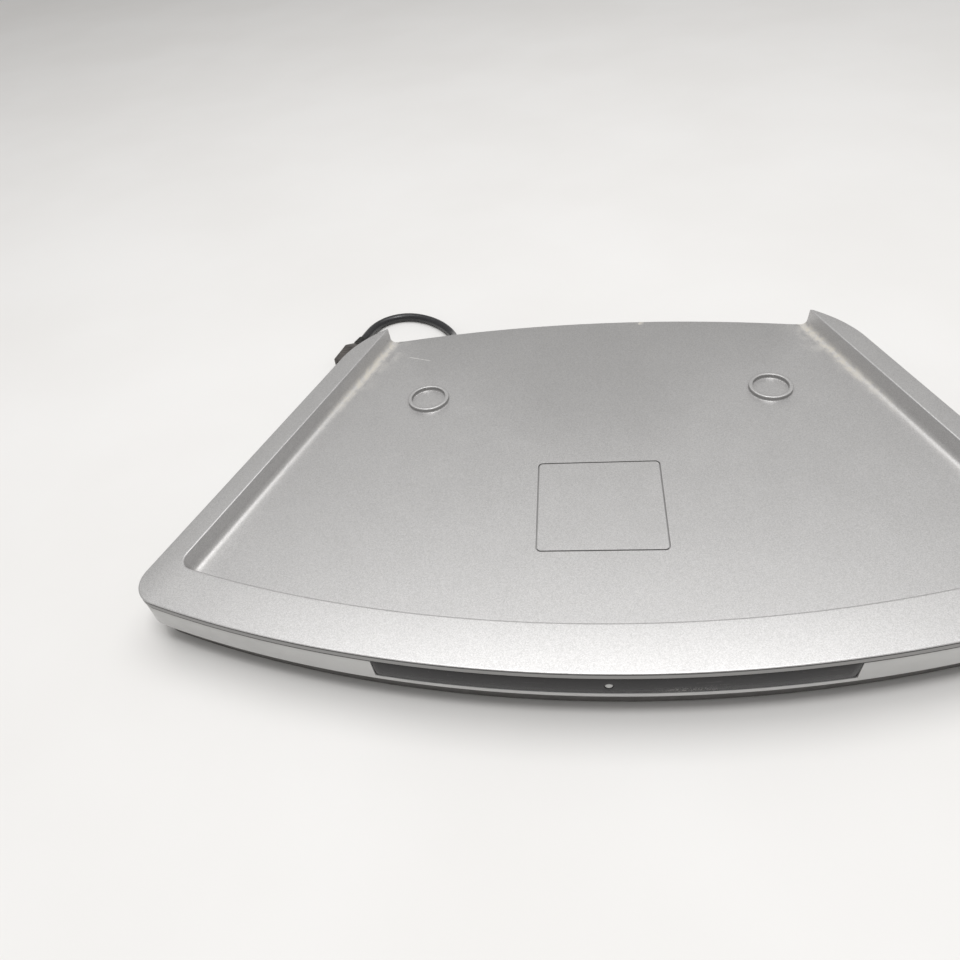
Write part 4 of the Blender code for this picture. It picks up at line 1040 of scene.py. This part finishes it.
def make_housing():
    """The lower shell: a loft inside and out, with the hollows carved from it."""
    top, bottom, foot = FASCIA_INSET_TOP, FASCIA_INSET_BOTTOM, UNDERCUT_INSET
    outer = (
        (top + 0.2, HOUSING_TOP_Z), (top + 0.05, HOUSING_TOP_Z - 0.05), (top, HOUSING_TOP_Z - 0.2),
        (bottom, UNDERCUT_Z + 1.0), (bottom + 0.1, UNDERCUT_Z + 0.6),
        (bottom + 0.4, UNDERCUT_Z + 0.2), (bottom + 0.9, UNDERCUT_Z - 0.05),
        (bottom + 1.5, UNDERCUT_Z - 0.35), (foot - 0.3, BASE_Z + 1.3), (foot - 0.1, BASE_Z + 0.6),
        (foot + 0.3, BASE_Z + 0.15), (foot + 0.9, BASE_Z))
    inner = ((foot + 2.2, FLOOR_Z), (bottom + 3.4, UNDERCUT_Z + 0.8),
             (bottom + HOUSING_WALL, UNDERCUT_Z + 2.4), (top + HOUSING_WALL, HOUSING_TOP_Z))
    housing = loft("housing_shell", [at_height(outline(inset), z) for inset, z in inner + outer])

    reach = COVER_WALL + GAP
    half = [(x + reach * n[0], y + reach * n[1]) for x, y, n in tray_half()[:-1]]
    beyond = 30.0  # the clearance runs on past the rear edge
    half.append((half[-1][0] - TRAY_LEAN * beyond, half[-1][1] + beyond))
    under = BASE_Z - 1.0  # the cutters start below the base
    cutters = [
        prism("tray_clearance", mirrored(half), PLATFORM_UNDER_Z - GAP, RIM_INNER_Z + 5.0),
        bowed_strip("window_notch", WINDOW_HALF_TOP + GAP, WINDOW_HALF_BOTTOM + GAP,
                    WINDOW_BOTTOM_Z - GAP, HOUSING_TOP_Z + 2.0, -1.0, 6.0),
        box("bay", (BAY_LEFT, BAY_Y - PANEL_THICKNESS - 2 * GAP, FLOOR_Z + 0.4),
            (BAY_RIGHT, REAR_Y + 20.0, PLATFORM_UNDER_Z + 2.0)),
        box("apron", (BAY_LEFT, BAY_Y + 0.2, BASE_Z - 3.0), (BAY_RIGHT, REAR_Y + 20.0, FLOOR_Z + 3.0))]
    cutters += [cylinder(f"bore_{i}", place, SCREW_BORE, under, BASE_Z + BORE_DEPTH)
                for i, place in enumerate(CASE_SCREWS)]
    cutters += [cylinder(f"seat_{name}", (x, y), FOOT_RADIUS + GAP, under, BASE_Z + SEAT_DEPTH)
                for name, x, y in FEET]
    carve(housing, cutters)
    return show(housing, PALE, ["lower_housing"])


def make_window():
    """The smoked strip, and the light guide's domed end in its round hole."""
    z0, z1 = WINDOW_BOTTOM_Z, HOUSING_TOP_Z
    slope = (FASCIA_INSET_BOTTOM - FASCIA_INSET_TOP) / (HOUSING_TOP_Z - UNDERCUT_Z - 1.0)
    window = bowed_strip("window_strip", WINDOW_HALF_TOP, WINDOW_HALF_BOTTOM, z0, z1,
                         FASCIA_INSET_TOP + 0.1, WINDOW_THICKNESS, slope * (z1 - z0), 0.2)
    lens_hole = LENS_RADIUS + 0.12
    hole = turned_y("lens_hole", 0.0, LENS_Z, [(lens_hole, FRONT_Y - 2.0), (lens_hole, FRONT_Y + 6.0)],
                    48)
    carve(window, [hole])
    show(window, SMOKED, ["front_window"])
    front = FRONT_Y + FASCIA_INSET_TOP + 0.45
    profile = [(0.35, front - 0.02), (0.8, front + 0.02), (1.2, front + 0.1),
               (LENS_RADIUS - 0.05, front + 0.25), (LENS_RADIUS, front + 0.4),
               (LENS_RADIUS, front + 4.4), (LENS_RADIUS - 0.2, front + 4.6)]
    lens = turned_y("indicator_dome", 0.0, LENS_Z, profile, 48)
    show(lens, GUIDE, ["indicator_lens"])


# ----- small pieces
def make_feet():
    """Round pads with a dished underside."""
    r = FOOT_RADIUS
    profile = [(r - 1.6, 0.25), (r - 1.4, 0.0), (r - 0.9, 0.0), (r - 0.5, 0.2), (r - 0.25, 0.8),
               (r - 0.05, BASE_Z - 0.1), (r, BASE_Z + 0.2)]
    for name, x, y in FEET:
        foot = turned(f"foot_pad_{name}", (x, y), profile, 48)
        show(foot, RUBBER, [f"foot_{name}"])


def make_case_screws():
    """Pan-head screws in the base's bores, with a cross recess."""
    head = BASE_Z + 0.4
    profile = [(1.9, head), (2.6, head + 0.15), (2.95, head + 0.5), (3.0, head + 0.9),
               (3.0, head + 1.5), (1.25, head + 1.5), (1.25, head + 10.4), (0.7, head + 11.0)]
    for i, (x, y) in enumerate(CASE_SCREWS, 1):
        screw = turned(f"case_fixing_{i}", (x, y), profile, 32)
        carve(screw, [box("slot", (x - a, y - b, head - 1.0), (x + a, y + b, head + 0.9))
                      for a, b in ((1.5, 0.3), (0.3, 1.5))])
        show(screw, STEEL, [f"case_screw_{i}"])


def make_button():
    """The button's collar behind the panel and its dished cap in front."""
    z = PORT_Z + 1.0
    back = BAY_Y - PANEL_THICKNESS - 1.4
    front = BAY_Y + 1.1
    r = BUTTON_RADIUS
    profile = [(r + 0.9, back), (r + 0.9, back + 1.0), (r, back + 1.1), (r, front - 0.35),
               (r - 0.1, front - 0.12), (r - 0.35, front), (r - 0.8, front - 0.02),
               (r - 1.4, front - 0.14), (r - 2.0, front - 0.2)]
    cap = turned_y("setup_button_cap", BUTTON_X, z, profile)
    show(cap, BLACK, ["setup_button"], "setup_button")


def make_port_details():
    """What fills the sockets: eight contacts in the network jack, a tongue in the service port."""
    socket_top = PORT_Z + 6.0
    spring_top = socket_top - 1.9
    contacts, pitch, half = 8, 1.02, 0.2
    path = [(BAY_Y - 11.8, socket_top - 2.2), (BAY_Y - 8.0, spring_top - 0.1),
            (BAY_Y - 3.5, spring_top - 0.4), (BAY_Y - 8.5, spring_top - 2.6)]
    for i in range(contacts):
        x = ETHERNET_X - pitch * (contacts - 1) / 2 + pitch * i
        loops = [[(x - half, y, z - 0.12), (x + half, y, z - 0.12), (x + half, y, z + 0.12),
                  (x - half, y, z + 0.12)] for y, z in path]
        show(loft(f"ethernet_contact_{i + 1}", loops), GOLD)
    tongue = box("service_tongue", (SERVICE_X - 2.7, BAY_Y - 5.4, SERVICE_Z + 1.75),
                 (SERVICE_X + 2.7, BAY_Y - 1.2, SERVICE_Z + 2.35))
    soften(tongue, 0.12)
    show(tongue, CHIP)


def finish_cad_nodes():
    """Materials for the CAD nodes that stay, and small edge roundings (in mm) for some."""
    looks = {
        "silver_paint": SILVER, "pale_plastic": PALE, "smoked_window": SMOKED, "black_plastic": BLACK,
        "light_guide": GUIDE, "black_rubber": RUBBER, "cord_jacket": JACKET, "steel": STEEL,
        "board_green": BOARD, "chip_black": CHIP, "flex_white": WHITE,
    }
    slots = {part["node"]: part["material_slot"] for part in frame["record"]["subparts"]}
    rounding = {"rear_panel": 0.25, "ethernet_jack": 0.2, "service_port": 0.15, "shield_can": 0.2,
                "processor": 0.1, "radio_module": 0.15, "lead_header": 0.2, "status_led": 0.15,
                "setup_switch_body": 0.15, "main_board": 0.1, "front_board": 0.1,
                "plug_contact_block": 0.15}
    for name, node in NODES.items():
        if node.hide_render:
            continue
        node.data.materials.clear()
        node.data.materials.append(looks[slots[name]])
        if name in rounding:
            soften(node, rounding[name], weld=True)


make_cover()
make_housing()
make_window()
make_feet()
make_case_screws()
make_button()
make_port_details()
finish_cad_nodes()


# ----- floor, lights and camera
def make_floor():
    """A wide plain floor, a hair below the feet."""
    bm = bmesh.new()
    bmesh.ops.create_grid(bm, x_segments=1, y_segments=1, size=6000.0)
    floor = mesh_object("floor", bm, None, outward=False)
    floor.location.z = -0.05 * MM
    floor.data.materials.append(floor_look())


def area_light(name, place, target, size, power):
    """A rectangular soft light; place, target and size are in metres, power in watts."""
    light = bpy.data.lights.new(name, "AREA")
    light.shape = "RECTANGLE"
    light.size, light.size_y = size
    light.energy = power
    obj = new_object(name, light)
    obj.location = place
    direction = Vector(target) - Vector(place)
    obj.rotation_mode = "QUATERNION"
    obj.rotation_quaternion = direction.to_track_quat("-Z", "Y")


def make_lights():
    """A bright surround, a wide light above, a small key before it and a weak fill."""
    world = bpy.data.worlds.new("studio")
    bpy.context.scene.world = world
    world.use_nodes = True
    background = world.node_tree.nodes["Background"]
    background.inputs["Color"].default_value = (1.0, 0.99, 0.975, 1.0)
    background.inputs["Strength"].default_value = 0.47
    area_light("overhead", (0.0, 0.3, 1.3), (0.0, 0.0, 0.0), (1.5, 0.8), 8.0)
    area_light("key", (0.05, -0.35, 1.4), (0.0, -0.1, 0.0), (0.5, 0.4), 8.0)
    area_light("front_fill", (-0.2, -1.0, 1.6), (0.0, -0.1, 0.0), (1.2, 0.8), 1.2)


def make_camera():
    azimuth, elevation = math.radians(CAMERA_AZIMUTH), math.radians(CAMERA_ELEVATION)
    roll = math.radians(CAMERA_ROLL)
    back = Vector((math.sin(azimuth) * math.cos(elevation), -math.cos(azimuth) * math.cos(elevation),
                   math.sin(elevation)))
    level = (-back).cross(Vector((0, 0, 1))).normalized()
    upright = level.cross(-back)
    right = math.cos(roll) * level + math.sin(roll) * upright
    up = -math.sin(roll) * level + math.cos(roll) * upright
    place = (Vector(CAMERA_TARGET) + back * CAMERA_DISTANCE) * MM
    data = bpy.data.cameras.new("camera")
    data.lens = CAMERA_LENS
    data.sensor_width = SENSOR_WIDTH
    data.clip_start, data.clip_end = 0.01, 30.0
    camera = new_object("camera", data)
    camera.matrix_world = Matrix.Translation(place) @ Matrix((right, up, back)).transposed().to_4x4()
    bpy.context.scene.camera = camera


make_floor()
make_lights()
make_camera()
bpy.context.scene.view_settings.view_transform = "Standard"
